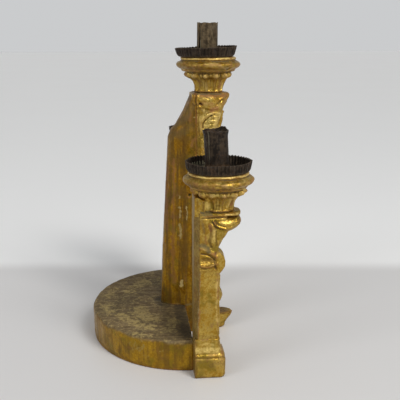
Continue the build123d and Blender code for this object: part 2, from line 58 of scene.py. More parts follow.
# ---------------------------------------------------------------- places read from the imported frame
plinth_low, plinth_high = mm_box("plinth")
FRONT_Y = plinth_low[1]
PLINTH_TOP = plinth_high[2]
PLINTH_HALF = plinth_high[0]
PLINTH_DEPTH = plinth_high[1] - FRONT_Y
LIGHTS = {}
for name in ("left", "centre", "right"):
    low, high = mm_box(f"{name}_cup")
    pan_low, pan_high = mm_box(f"{name}_drip_pan")
    tube_low, tube_high = mm_box(f"{name}_candle_socket")
    LIGHTS[name] = {
        "x": (low[0] + high[0]) / 2,
        "y": (low[1] + high[1]) / 2,
        "cup": low[2],
        "pan": pan_low[2],
        "pan_top": pan_high[2],
        "tube": tube_low[2],
        "tube_top": tube_high[2],
    }


# ---------------------------------------------------------------- mesh helpers
def new_object(name, verts, faces):
    """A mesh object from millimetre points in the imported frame."""
    mesh = bpy.data.meshes.new(name)
    mesh.from_pydata([tuple(v) for v in np.asarray(verts) * MM], [], [tuple(f) for f in faces])
    mesh.validate()
    obj = bpy.data.objects.new(name, mesh)
    bpy.context.scene.collection.objects.link(obj)
    shade_smooth(obj)
    return obj


def apply_modifiers(obj):
    """Applies every modifier of obj to its mesh."""
    depsgraph = bpy.context.evaluated_depsgraph_get()
    mesh = bpy.data.meshes.new_from_object(obj.evaluated_get(depsgraph))
    old = obj.data
    obj.modifiers.clear()
    obj.data = mesh
    bpy.data.meshes.remove(old)
    return obj


def clean(obj):
    """Consistent outward normals, no doubles, no loose points."""
    bm = bmesh.new()
    bm.from_mesh(obj.data)
    bmesh.ops.remove_doubles(bm, verts=bm.verts, dist=1e-6)
    loose = [v for v in bm.verts if not v.link_faces]
    bmesh.ops.delete(bm, geom=loose, context="VERTS")
    bmesh.ops.recalc_face_normals(bm, faces=bm.faces)
    bm.to_mesh(obj.data)
    bm.free()
    return obj


def join(name, objects):
    """One mesh object out of several, whose solids may overlap."""
    verts, faces = [], []
    for obj in objects:
        start = len(verts)
        verts += [tuple(v.co) for v in obj.data.vertices]
        faces += [tuple(i + start for i in p.vertices) for p in obj.data.polygons]
        mesh = obj.data
        bpy.data.objects.remove(obj)
        bpy.data.meshes.remove(mesh)
    mesh = bpy.data.meshes.new(name)
    mesh.from_pydata(verts, [], faces)
    obj = bpy.data.objects.new(name, mesh)
    bpy.context.scene.collection.objects.link(obj)
    return obj


def remesh(obj, voxel, smooth_steps):
    """One closed skin round everything in obj, with its corners softened."""
    mod = obj.modifiers.new("skin", "REMESH")
    mod.mode = "VOXEL"
    mod.voxel_size = voxel * MM
    mod.adaptivity = 0.0
    mod.use_smooth_shade = True
    soft = obj.modifiers.new("soften", "SMOOTH")
    soft.iterations = smooth_steps
    soft.factor = 0.5
    apply_modifiers(obj)
    shade_smooth(obj)
    return obj


def points(obj):
    co = np.empty(len(obj.data.vertices) * 3)
    obj.data.vertices.foreach_get("co", co)
    return co.reshape(-1, 3) / MM


def set_points(obj, co):
    obj.data.vertices.foreach_set("co", (np.asarray(co) * MM).ravel())
    obj.data.update()


def shade_smooth(obj):
    obj.data.polygons.foreach_set("use_smooth", [True] * len(obj.data.polygons))


def normals(obj):
    no = np.empty(len(obj.data.vertices) * 3)
    obj.data.vertices.foreach_get("normal", no)
    return no.reshape(-1, 3)


def edges(obj):
    ed = np.empty(len(obj.data.edges) * 2, np.int64)
    obj.data.edges.foreach_get("vertices", ed)
    return ed.reshape(-1, 2)


def value_noise(co, size, seed):
    """Smooth noise from -1 to 1 on an n by 3 array of points, one blob about size millimetres."""
    p = np.asarray(co) / size + np.array([17.3, 5.1, 9.7]) * (seed + 1)
    base = np.floor(p).astype(np.int64)
    f = p - base
    f = f * f * f * (f * (f * 6 - 15) + 10)
    total = np.zeros(len(p))
    for dx in (0, 1):
        for dy in (0, 1):
            for dz in (0, 1):
                h = (
                    (base[:, 0] + dx) * 374761393
                    + (base[:, 1] + dy) * 668265263
                    + (base[:, 2] + dz) * 2147483647
                    + seed * 144665
                )
                h = (h ^ (h >> 13)) * 1274126177
                h = (h ^ (h >> 16)) & 0xFFFFFF
                weight = (
                    (f[:, 0] if dx else 1 - f[:, 0])
                    * (f[:, 1] if dy else 1 - f[:, 1])
                    * (f[:, 2] if dz else 1 - f[:, 2])
                )
                total += weight * (h / 0xFFFFFF * 2 - 1)
    return total


def fractal(co, size, octaves, seed):
    """Layers of smooth noise, each half the size and half the strength of the one before."""
    total, gain, norm = 0, 1.0, 0
    for k in range(octaves):
        total = total + gain * value_noise(co, size / 2**k, seed + k)
        norm += gain
        gain *= 0.5
    return total / norm


def smoothstep(a, b, x):
    t = np.clip((np.asarray(x, float) - a) / (b - a), 0, 1)
    return t * t * (3 - 2 * t)


def read_mask(obj, name):
    """A vertex mask's values, or zeros where obj has no such mask yet."""
    values = np.zeros(len(obj.data.vertices), np.float32)
    mask = obj.data.attributes.get(name)
    if mask:
        mask.data.foreach_get("value", values)
    return values


def write_mask(obj, name, values):
    """Stores one number a vertex, which the materials read by name."""
    mask = obj.data.attributes.get(name) or obj.data.attributes.new(name, "FLOAT", "POINT")
    mask.data.foreach_set("value", np.asarray(values, np.float32))


def cavity(obj, wide):
    """Stores how far each point lies in a hollow (positive) or on an edge (negative), in millimetres."""
    co = points(obj)
    ed = edges(obj)
    count = np.bincount(ed.ravel(), minlength=len(co)).astype(float)
    count[count == 0] = 1
    soft = co.copy()
    for _ in range(wide):
        total = np.zeros_like(soft)
        for k in range(3):
            total[:, k] = np.bincount(ed[:, 0], soft[ed[:, 1], k], len(co)) + np.bincount(
                ed[:, 1], soft[ed[:, 0], k], len(co)
            )
        soft = 0.5 * soft + 0.5 * total / count[:, None]
    depth = ((soft - co) * normals(obj)).sum(1)
    write_mask(obj, "hollow", depth)


def along_depth(rows, x, power):
    """A closed solid whose oval sections step forwards: rows of (depth, low z, high z, half width)."""
    count = 56
    rows = np.asarray(rows, float)
    depths = np.linspace(rows[0, 0], rows[-1, 0], max(24, int(abs(rows[-1, 0] - rows[0, 0]) / 0.8)))
    angles = np.linspace(0, 2 * math.pi, count, endpoint=False)
    cx = np.sign(np.cos(angles)) * np.abs(np.cos(angles)) ** (2 / power)
    cz = np.sign(np.sin(angles)) * np.abs(np.sin(angles)) ** (2 / power)
    rings = []
    for d in depths:
        low, high, half = (np.interp(-d, -rows[:, 0], rows[:, k]) for k in (1, 2, 3))
        rings.append(
            np.stack([x + half * cx, np.full(count, FRONT_Y + d), (low + high) / 2 + (high - low) / 2 * cz],
            1)
        )
    return stack(rings)


def dull_back(obj, dark, dust, seed):
    """The faces that look backwards were toned, never burnished, and have gathered dust."""
    co, no = points(obj), normals(obj)
    back = smoothstep(0.25, 0.6, no[:, 1])
    mottled = smoothstep(-0.5, 0.5, fractal(co / np.array([1, 1, 3.0]), 5, 3, seed))
    for name, value in (("dark", dark * back * (0.6 + 0.4 * mottled)), ("dust", dust * back * (1 - mottled))):
        write_mask(obj, name, np.maximum(read_mask(obj, name), value))


def stroke_distance(flat, line):
    """The distance from each (u, v) point to a polyline."""
    best = np.full(len(flat), 1e9)
    line = np.asarray(line, float)
    if len(line) == 1:
        return np.hypot(*(flat - line[0]).T)
    for a, b in zip(line[:-1], line[1:]):
        ab = b - a
        t = np.clip(((flat - a) @ ab) / max(ab @ ab, 1e-9), 0, 1)
        best = np.minimum(best, np.hypot(*(flat - a - t[:, None] * ab).T))
    return best


def eased(line):
    """A stroke's line, curved through its points where it has more than two."""
    return curve_points(line, 8 * (len(line) - 1) + 1) if len(line) > 2 else line


def carve(obj, axis, direction, strokes, origin=(0.0, 0.0)):
    """Gouge strokes (line, width, height) on the faces that look along direction * axis."""
    co, no = points(obj), normals(obj)
    keep = [k for k in range(3) if k != axis]
    flat = co[:, keep] - np.array(origin)
    weight = smoothstep(0.25, 0.75, no[:, axis] * direction)
    near = weight > 0
    move = np.zeros(len(co))
    for line, width, height in strokes:
        line = np.asarray(line, float)
        low, high = line.min(0) - 3 * width, line.max(0) + 3 * width
        pick = near & (flat > low).all(1) & (flat < high).all(1)
        distance = stroke_distance(flat[pick], eased(line))
        move[pick] += height * np.exp(-((distance / width) ** 2))
    set_points(obj, co + no * (move * weight)[:, None])


def paint(obj, name, strokes, axis=0, origin=(0.0, 0.0), seed=0, ragged=0.5, side_of=0):
    """Stores a 0 to 1 mask from soft strokes (line, width, strength) seen along axis: wear and dust, and also
    painted shade and painted highlights.
    """
    co = points(obj)
    keep = [k for k in range(3) if k != axis]
    flat = co[:, keep] - np.array(origin)
    flat = flat + ragged * np.stack([fractal(co, 4.0, 2, seed + 60), fractal(co, 4.0, 2, seed + 70)], 1) * 2
    total = np.zeros(len(co))
    for line, width, strength in strokes:
        distance = stroke_distance(flat, eased(np.asarray(line, float)))
        total = np.maximum(total, strength * np.exp(-((distance / width) ** 4)))
    if side_of:
        total *= co[:, axis] * side_of > 0
    write_mask(obj, name, np.maximum(total, read_mask(obj, name)))


def prism(outline, low, high, axis=0):
    """A closed solid: an outline in the plane across axis, carried along it from low to high."""
    outline = np.asarray(outline, float)
    n = len(outline)
    verts = np.concatenate([np.insert(outline, axis, level, 1) for level in (low, high)])
    faces = [tuple(range(n)), tuple(range(2 * n - 1, n - 1, -1))]
    faces += [(i, i + n, (i + 1) % n + n, (i + 1) % n) for i in range(n)]
    return clean(new_object("prism", verts, faces))


def skin(name, rings, low, high):
    """A closed surface through rings of points, with a fan of faces round its low and high middle."""
    sides = len(rings[0])
    verts = np.concatenate(rings + [np.array([low, high])])
    faces = []
    for j in range(len(rings) - 1):
        a, b = j * sides, (j + 1) * sides
        faces += [(a + i, a + (i + 1) % sides, b + (i + 1) % sides, b + i) for i in range(sides)]
    last = (len(rings) - 1) * sides
    faces += [(len(verts) - 2, (i + 1) % sides, i) for i in range(sides)]
    faces += [(len(verts) - 1, last + i, last + (i + 1) % sides) for i in range(sides)]
    return new_object(name, verts, faces)


def stack(sections):
    """A closed solid through rings of points with the same count, capped at both ends."""
    rings = [np.asarray(r, float) for r in sections]
    n = len(rings[0])
    verts = np.concatenate(rings)
    faces = [tuple(range(n)), tuple(range(len(verts) - 1, len(verts) - n - 1, -1))]
    for k in range(len(rings) - 1):
        a, b = k * n, (k + 1) * n
        faces += [(a + i, b + i, b + (i + 1) % n, a + (i + 1) % n) for i in range(n)]
    return clean(new_object("stack", verts, faces))


def tube_along(path, radii, sides=20, squash=1.0, up=(1.0, 0.0, 0.0)):
    """A round or oval rope of clay along a path, with rounded ends."""
    path = np.asarray(path, float)
    radii = np.broadcast_to(np.asarray(radii, float), (len(path),))
    tangent = np.gradient(path, axis=0)
    tangent /= np.linalg.norm(tangent, axis=1)[:, None]
    up = np.asarray(up, float)
    rings = []
    for p, t, r in zip(path, tangent, radii):
        side = np.cross(t, up)
        side /= max(np.linalg.norm(side), 1e-9)
        other = np.cross(side, t)
        angles = np.linspace(0, 2 * math.pi, sides, endpoint=False)
        rings.append(p + r * (np.cos(angles)[:, None] * side + squash * np.sin(angles)[:, None] * other))
    first, last = path[0] - tangent[0] * radii[0] * 0.5, path[-1] + tangent[-1] * radii[-1] * 0.5
    rings.insert(0, first + (rings[0] - path[0]) * 0.6)
    rings.append(last + (rings[-1] - path[-1]) * 0.6)
    return stack(rings)


def curve_points(control, count):
    """A smooth path through control points (Catmull-Rom)."""
    control = np.asarray(control, float)
    padded = np.vstack([2 * control[0] - control[1], control, 2 * control[-1] - control[-2]])
    out = []
    spans = len(control) - 1
    for k in range(count):
        t = k / (count - 1) * spans
        i = min(int(t), spans - 1)
        f = t - i
        p0, p1, p2, p3 = padded[i : i + 4]
        out.append(
            0.5
            * (
                2 * p1
                + (p2 - p0) * f
                + (2 * p0 - 5 * p1 + 4 * p2 - p3) * f**2
                + (3 * p1 - p0 - 3 * p2 + p3) * f**3
            )
        )
    return np.array(out)


def ellipsoid(centre, radii):
    """A closed egg shape."""
    rings, sides = 14, 22
    verts = [(0, 0, -1)]
    for i in range(1, rings):
        a = -math.pi / 2 + math.pi * i / rings
        for j in range(sides):
            b = 2 * math.pi * j / sides
            verts.append((math.cos(a) * math.cos(b), math.cos(a) * math.sin(b), math.sin(a)))
    verts.append((0, 0, 1))
    faces = [(0, 1 + (j + 1) % sides, 1 + j) for j in range(sides)]
    for i in range(rings - 2):
        a, b = 1 + i * sides, 1 + (i + 1) * sides
        faces += [(a + j, a + (j + 1) % sides, b + (j + 1) % sides, b + j) for j in range(sides)]
    top = len(verts) - 1
    a = 1 + (rings - 2) * sides
    faces += [(a + j, a + (j + 1) % sides, top) for j in range(sides)]
    verts = np.array(verts) * np.array(radii) + np.array(centre)
    return clean(new_object("egg", verts, faces))


def finish_piece(obj, node, material):
    obj.name = node + "_look"
    obj.data.name = obj.name
    obj.data.materials.clear()
    obj.data.materials.append(material)
    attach(obj, "root")
    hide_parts(node)
    return obj


def mirrored(obj, name):
    """A copy of obj on the other side of the mirror plane."""
    copy = obj.copy()
    copy.data = obj.data.copy()
    copy.name = name
    bpy.context.scene.collection.objects.link(copy)
    co = points(copy)
    co[:, 0] *= -1
    set_points(copy, co)
    copy.data.flip_normals()
    copy.data.update()
    return copy


# ---------------------------------------------------------------- material helpers
class Nodes:
    """A short way to write node trees."""

    def __init__(self, name):
        self.material = bpy.data.materials.new(name)
        self.material.use_nodes = True
        self.tree = self.material.node_tree
        self.tree.nodes.clear()
        self.coords = self.add("ShaderNodeTexCoord").outputs["Object"]
        self.out = self.add("ShaderNodeOutputMaterial")
        self.shader = self.add("ShaderNodeBsdfPrincipled")
        self.link(self.shader.outputs["BSDF"], self.out.inputs["Surface"])

    def add(self, kind, **settings):
        node = self.tree.nodes.new(kind)
        for key, value in settings.items():
            setattr(node, key, value)
        return node

    def link(self, source, target):
        self.tree.links.new(source, target)

    def put(self, target, value):
        if isinstance(value, bpy.types.NodeSocket):
            self.link(value, target)
        elif isinstance(value, tuple) and len(value) == 3 and target.type == "RGBA":
            target.default_value = (*value, 1)
        else:
            target.default_value = value

    def scaled(self, scale=(1, 1, 1), rotation=(0, 0, 0)):
        node = self.add("ShaderNodeMapping")
        node.inputs["Scale"].default_value = scale
        node.inputs["Rotation"].default_value = rotation
        self.link(self.coords, node.inputs["Vector"])
        return node.outputs["Vector"]

    def noise(self, scale, detail=4, roughness=0.55, distortion=0.0, vector=None):
        node = self.add("ShaderNodeTexNoise")
        node.inputs["Scale"].default_value = scale
        node.inputs["Detail"].default_value = detail
        node.inputs["Roughness"].default_value = roughness
        node.inputs["Distortion"].default_value = distortion
        self.link(vector or self.coords, node.inputs["Vector"])
        return node.outputs["Fac"]

    def attribute(self, name):
        return self.add("ShaderNodeAttribute", attribute_name=name).outputs["Fac"]

    def math(self, operation, a, b=0.0, clamp=False):
        node = self.add("ShaderNodeMath", operation=operation, use_clamp=clamp)
        self.put(node.inputs[0], a)
        self.put(node.inputs[1], b)
        return node.outputs[0]

    def span(self, value, low, high, to_low=0.0, to_high=1.0):
        node = self.add("ShaderNodeMapRange", clamp=True, interpolation_type="SMOOTHSTEP")
        self.put(node.inputs["Value"], value)
        node.inputs["From Min"].default_value = low
        node.inputs["From Max"].default_value = high
        node.inputs["To Min"].default_value = to_low
        node.inputs["To Max"].default_value = to_high
        return node.outputs["Result"]

    def mix(self, factor, a, b, blend="MIX"):
        node = self.add("ShaderNodeMix", data_type="RGBA", blend_type=blend)
        self.put(node.inputs[0], factor)
        self.put(node.inputs[6], a)
        self.put(node.inputs[7], b)
        return node.outputs[2]

    def blend(self, factor, a, b):
        node = self.add("ShaderNodeMix", data_type="FLOAT")
        self.put(node.inputs[0], factor)
        self.put(node.inputs[2], a)
        self.put(node.inputs[3], b)
        return node.outputs[0]

    def weighed(self, *pairs):
        """The sum of value times weight."""
        total = None
        for value, weight in pairs:
            term = self.math("MULTIPLY", value, weight)
            total = term if total is None else self.math("ADD", total, term)
        return total

    def relief(self, height, distance, strength=1.0):
        node = self.add("ShaderNodeBump")
        node.inputs["Strength"].default_value = strength
        node.inputs["Distance"].default_value = distance
        self.put(node.inputs["Height"], height)
        return node.outputs["Normal"]


def gilding(
    name,
    gold=(0.37, 0.205, 0.022),
    pale=(0.60, 0.415, 0.090),
    shade_and_toning_colour=(0.118, 0.056, 0.009),
    gesso=(0.50, 0.40, 0.19),
    dust=(0.105, 0.082, 0.036),
    toned=0.45,
    rubbed=0.6,
    lost=0.3,
    dusty=0.5,
    runs=0.0,
):
    """Water gilding on bole and gesso: toned, rubbed through on the edges, chipped, and dusty in the hollows.

    The vertex masks hollow, dust, bole and cream say where it is recessed, dusty or worn; dark holds painted
    shade and darker toning, light holds painted highlights and paler leaf."""
    bole = (0.250, 0.098, 0.034)
    olive = (0.230, 0.160, 0.018)
    sheen = 0.26
    n = Nodes(name)
    hollow = n.attribute("hollow")
    broad = n.noise(24, 3, 0.6)
    cloud = n.noise(85, 5, 0.62, 0.5)
    fine = n.noise(430, 5, 0.7)
    speckle = n.noise(900, 3, 0.7)
    grain = n.noise(240, 5, 0.65, 0.4, n.scaled((1, 1, 0.08)))
    leaf = n.mix(n.span(n.weighed((cloud, 0.5), (fine, 0.5)), 0.42, 0.60), gold, pale)
    greened = n.span(n.noise(60, 3, 0.6, 0.3, n.scaled((1.1, 0.9, 0.8))), 0.50, 0.66, 0, 0.75)
    leaf = n.mix(greened, leaf, olive)
    # Old brown toning lies in clouds and hollows and, on a shaft, in upright runs.
    if runs:
        streak = n.noise(170, 4, 0.62, 0.5, n.scaled((1, 1, 0.045)))
        shade_and_toning = n.weighed((broad, 0.25), (cloud, 0.75 - runs), (streak, runs))
    else:
        shade_and_toning = n.weighed((broad, 0.30), (cloud, 0.36), (fine, 0.34))
    shade_and_toning = n.span(shade_and_toning, 0.60 - 0.22 * toned, 0.66 - 0.12 * toned, 0, 0.30 + 0.62 * toned)
    shade_and_toning = n.math("MAXIMUM", shade_and_toning, n.span(n.weighed((hollow, 1.0), (n.math("SUBTRACT", fine, 0.5), 0.5)),
        0.06, 0.46, 0, 0.85))
    # The dark mask adds painted shade in grooves, under parts and where parts meet, with some darker toning,
    # in the same brown.
    shade_and_toning = n.math("MAXIMUM", shade_and_toning, n.math("MULTIPLY", n.attribute("dark"), n.span(fine, 0.3, 0.6, 1.0, 0.7)))
    shade_and_toning = n.math("MAXIMUM", shade_and_toning, n.span(n.weighed((speckle, 0.6), (cloud, 0.4)), 0.53, 0.62, 0, 0.6))
    colour = n.mix(shade_and_toning, leaf, shade_and_toning_colour)
    # Bole shows where the leaf is rubbed through: edges first, then scattered patches.
    edge = n.span(n.weighed((hollow, -1.0), (n.math("SUBTRACT", cloud, 0.5), 1.3)), 0.16, 0.42)
    patch = n.span(n.weighed((broad, 0.35), (cloud, 0.30), (fine, 0.35)), 0.63 - 0.10 * rubbed,
        0.69 - 0.08 * rubbed)
    worn = n.math("MULTIPLY", n.math("MAXIMUM", edge, patch), 0.25 + 0.55 * rubbed, clamp=True)
    worn = n.math("MAXIMUM", worn, n.math("MULTIPLY", n.attribute("bole"),
        n.span(fine, 0.25, 0.55, 0.45, 1.0)))
    colour = n.mix(worn, colour, bole)
    # Chips go through to the cream gesso.
    chips = n.noise(52, 6, 0.72, 1.2)
    chip = n.span(chips, 0.745 - 0.08 * lost, 0.765 - 0.08 * lost)
    chip = n.math("MAXIMUM", chip, n.span(n.weighed((n.attribute("cream"), 0.8),
        (n.math("SUBTRACT", fine, 0.5), 2.2), (n.math("SUBTRACT", speckle, 0.5), 1.0)), 0.42, 0.78, 0, 0.85))
    colour = n.mix(chip, colour, n.mix(n.span(fine, 0.35, 0.65), gesso,
        (gesso[0] * 0.62, gesso[1] * 0.56, gesso[2] * 0.46)))
    # Grey-green dust in the hollows.
    dirt = n.span(n.weighed((hollow, 1.0), (n.math("SUBTRACT", fine, 0.5), 0.3)), 0.16, 0.6, 0, dusty)
    dirt = n.math("MAXIMUM", dirt, n.math("MULTIPLY", n.attribute("dust"),
        n.span(fine, 0.25, 0.6, 0.55, 1.0)))
    colour = n.mix(dirt, colour, dust)
    # Painted highlights from the light mask, and paler leaf where the carving has been handled or never
    # toned; none in the hollows.
    broken = n.span(n.weighed((fine, 0.5), (cloud, 0.5)), 0.36, 0.60, 0.25, 1.0)
    bright = n.math("MULTIPLY", n.attribute("light"), broken)
    bright = n.math("MULTIPLY", bright, n.math("SUBTRACT", 1.0, n.span(hollow, 0.02, 0.16)))
    colour = n.mix(n.math("MULTIPLY", bright, 0.85), colour, (0.90, 0.67, 0.215))
    n.link(colour, n.shader.inputs["Base Color"])
    dull = n.math("MAXIMUM", n.math("MAXIMUM", worn, chip), dirt)
    dull = n.math("MULTIPLY", dull, n.math("SUBTRACT", 1.0, n.math("MULTIPLY", bright, 0.85)))
    n.link(n.blend(dull, n.blend(shade_and_toning, 0.88, 0.30), 0.0), n.shader.inputs["Metallic"])
    rough = n.blend(shade_and_toning, n.span(cloud, 0.3, 0.7, sheen, sheen + 0.14), 0.52)
    n.link(n.blend(dull, rough, 0.74), n.shader.inputs["Roughness"])
    height = n.weighed((cloud, 0.40), (fine, 0.30), (grain, 0.30), (chip, -0.35))
    n.link(n.relief(height, 0.0012, 0.8), n.shader.inputs["Normal"])
    n.shader.inputs["Specular IOR Level"].default_value = 0.3
    return n


def plinth_wood(name):
    """The plinth: a gilded rim round a bare, greyed top with long scratches and scraps of old gilding."""
    n = gilding(name, toned=0.66, rubbed=0.55, lost=0.42, dusty=0.12, runs=0.35, gold=(0.33, 0.180, 0.014),
        pale=(0.50, 0.290, 0.024), gesso=(0.42, 0.31, 0.09), dust=(0.11, 0.074, 0.024))
    top = n.attribute("top")
    scratch = n.noise(330, 6, 0.72, 0.25, n.scaled((1.0, 0.09, 1.0)))
    scratch_fine = n.noise(900, 4, 0.7, 0.2, n.scaled((1.0, 0.06, 1.0)))
    broad = n.noise(30, 4, 0.62, 0.6)
    speck = n.noise(260, 5, 0.7, 0.4)
    colour = n.mix(n.span(n.weighed((scratch, 0.6), (speck, 0.4)), 0.38, 0.62), (0.100, 0.065, 0.029),
        (0.235, 0.166, 0.076))
    colour = n.mix(n.span(broad, 0.42, 0.64, 0, 0.6), colour, (0.085, 0.062, 0.030))
    patch = n.weighed((n.attribute("cream"), 0.15), (broad, 0.16), (speck, 0.62),
        (n.noise(620, 4, 0.7), 0.30), (scratch, 0.14))
    colour = n.mix(n.span(patch, 0.59, 0.80, 0, 0.8), colour, (0.44, 0.330, 0.120))
    colour = n.mix(n.span(n.weighed((scratch_fine, 0.7), (speck, 0.3)), 0.54, 0.66, 0, 0.55), colour,
        (0.34, 0.262, 0.125))
    # Painted shade on the top from the dark mask, near black beside the parts that stand on it.
    colour = n.mix(n.math("MULTIPLY", n.attribute("dark"), 0.85), colour, (0.028, 0.022, 0.015))
    old_colour = n.shader.inputs["Base Color"].links[0].from_socket
    old_metal = n.shader.inputs["Metallic"].links[0].from_socket
    old_rough = n.shader.inputs["Roughness"].links[0].from_socket
    n.link(n.mix(top, old_colour, colour), n.shader.inputs["Base Color"])
    n.link(n.blend(top, old_metal, 0.0), n.shader.inputs["Metallic"])
    n.link(n.blend(top, old_rough, n.span(scratch, 0.3, 0.7, 0.72, 0.56)), n.shader.inputs["Roughness"])
    n.shader.inputs["Specular IOR Level"].default_value = 0.18
    height = n.blend(top, n.weighed((n.noise(85, 5, 0.62, 0.5), 0.6), (n.noise(430, 4, 0.65), 0.3)),
        n.weighed((scratch, 0.7), (scratch_fine, 0.3)))
    n.link(n.relief(height, 0.0009, 0.8), n.shader.inputs["Normal"])
    return n


def iron(name, dark=(0.012, 0.008, 0.005), brown=(0.052, 0.034, 0.018), rust=(0.110, 0.058, 0.024),
    cold=(0.030, 0.022, 0.017)):
    """Old sheet iron under a dark brown skin of rust."""
    n = Nodes(name)
    hollow = n.attribute("hollow")
    broad = n.noise(70, 4, 0.6, 0.4)
    fine = n.noise(650, 5, 0.7)
    mid = n.noise(210, 5, 0.68, 0.3)
    runs = n.noise(300, 4, 0.6, 0.3, n.scaled((1, 1, 0.12)))
    colour = n.mix(n.span(broad, 0.38, 0.62), brown, cold)
    colour = n.mix(n.span(n.weighed((mid, 0.6), (runs, 0.4)), 0.40, 0.58), dark, colour)
    colour = n.mix(n.span(n.weighed((fine, 0.6), (broad, 0.4)), 0.50, 0.66, 0, 0.6), colour, rust)
    colour = n.mix(n.attribute("cream"), colour, (0.26, 0.23, 0.15))
    colour = n.mix(n.attribute("light"), colour, rust)
    colour = n.mix(n.span(hollow, 0.03, 0.28, 0, 0.7), colour, dark)
    colour = n.mix(n.span(n.math("MULTIPLY", hollow, -1.0), 0.10, 0.40, 0, 0.25), colour,
        (0.13, 0.095, 0.062))
    n.link(colour, n.shader.inputs["Base Color"])
    n.link(n.span(mid, 0.35, 0.7, 0.50, 0.15), n.shader.inputs["Metallic"])
    n.link(n.span(fine, 0.3, 0.7, 0.46, 0.74), n.shader.inputs["Roughness"])
    n.link(n.relief(n.weighed((fine, 0.5), (mid, 0.5)), 0.0005, 0.8), n.shader.inputs["Normal"])
    n.shader.inputs["Specular IOR Level"].default_value = 0.28
    return n.material


def bare_wood(name):
    """Turned dowels: pale wood with fine straight grain."""
    n = Nodes(name)
    grain = n.noise(500, 5, 0.7, 0.3, n.scaled((1, 0.12, 0.12)))
    broad = n.noise(90, 3, 0.5)
    colour = n.mix(grain, (0.42, 0.26, 0.13), (0.24, 0.13, 0.055))
    colour = n.mix(n.span(broad, 0.4, 0.7, 0, 0.4), colour, (0.16, 0.08, 0.03))
    n.link(colour, n.shader.inputs["Base Color"])
    n.link(n.span(grain, 0.3, 0.7, 0.6, 0.8), n.shader.inputs["Roughness"])
    n.link(n.relief(grain, 0.0003, 0.5), n.shader.inputs["Normal"])
    return n.material


gilt = gilding("gilded_wood").material
gilt_post = gilding(
    "toned_gilding", toned=0.78, runs=0.45, rubbed=0.5, dusty=0.5, gold=(0.29, 0.136, 0.007),
    pale=(0.48, 0.262, 0.015), shade_and_toning_colour=(0.066, 0.029, 0.003), dust=(0.11, 0.080, 0.030),
    gesso=(0.55, 0.43, 0.18)
).material
plinth_finish = plinth_wood("plinth_gilding_and_bare_top").material
sheet_iron = iron("rusted_sheet_iron")
socket_iron = iron("browned_sheet_iron", dark=(0.045, 0.031, 0.016), brown=(0.165, 0.115, 0.058),
    cold=(0.115, 0.088, 0.050), rust=(0.17, 0.105, 0.052))
wood = bare_wood("dowel_wood")


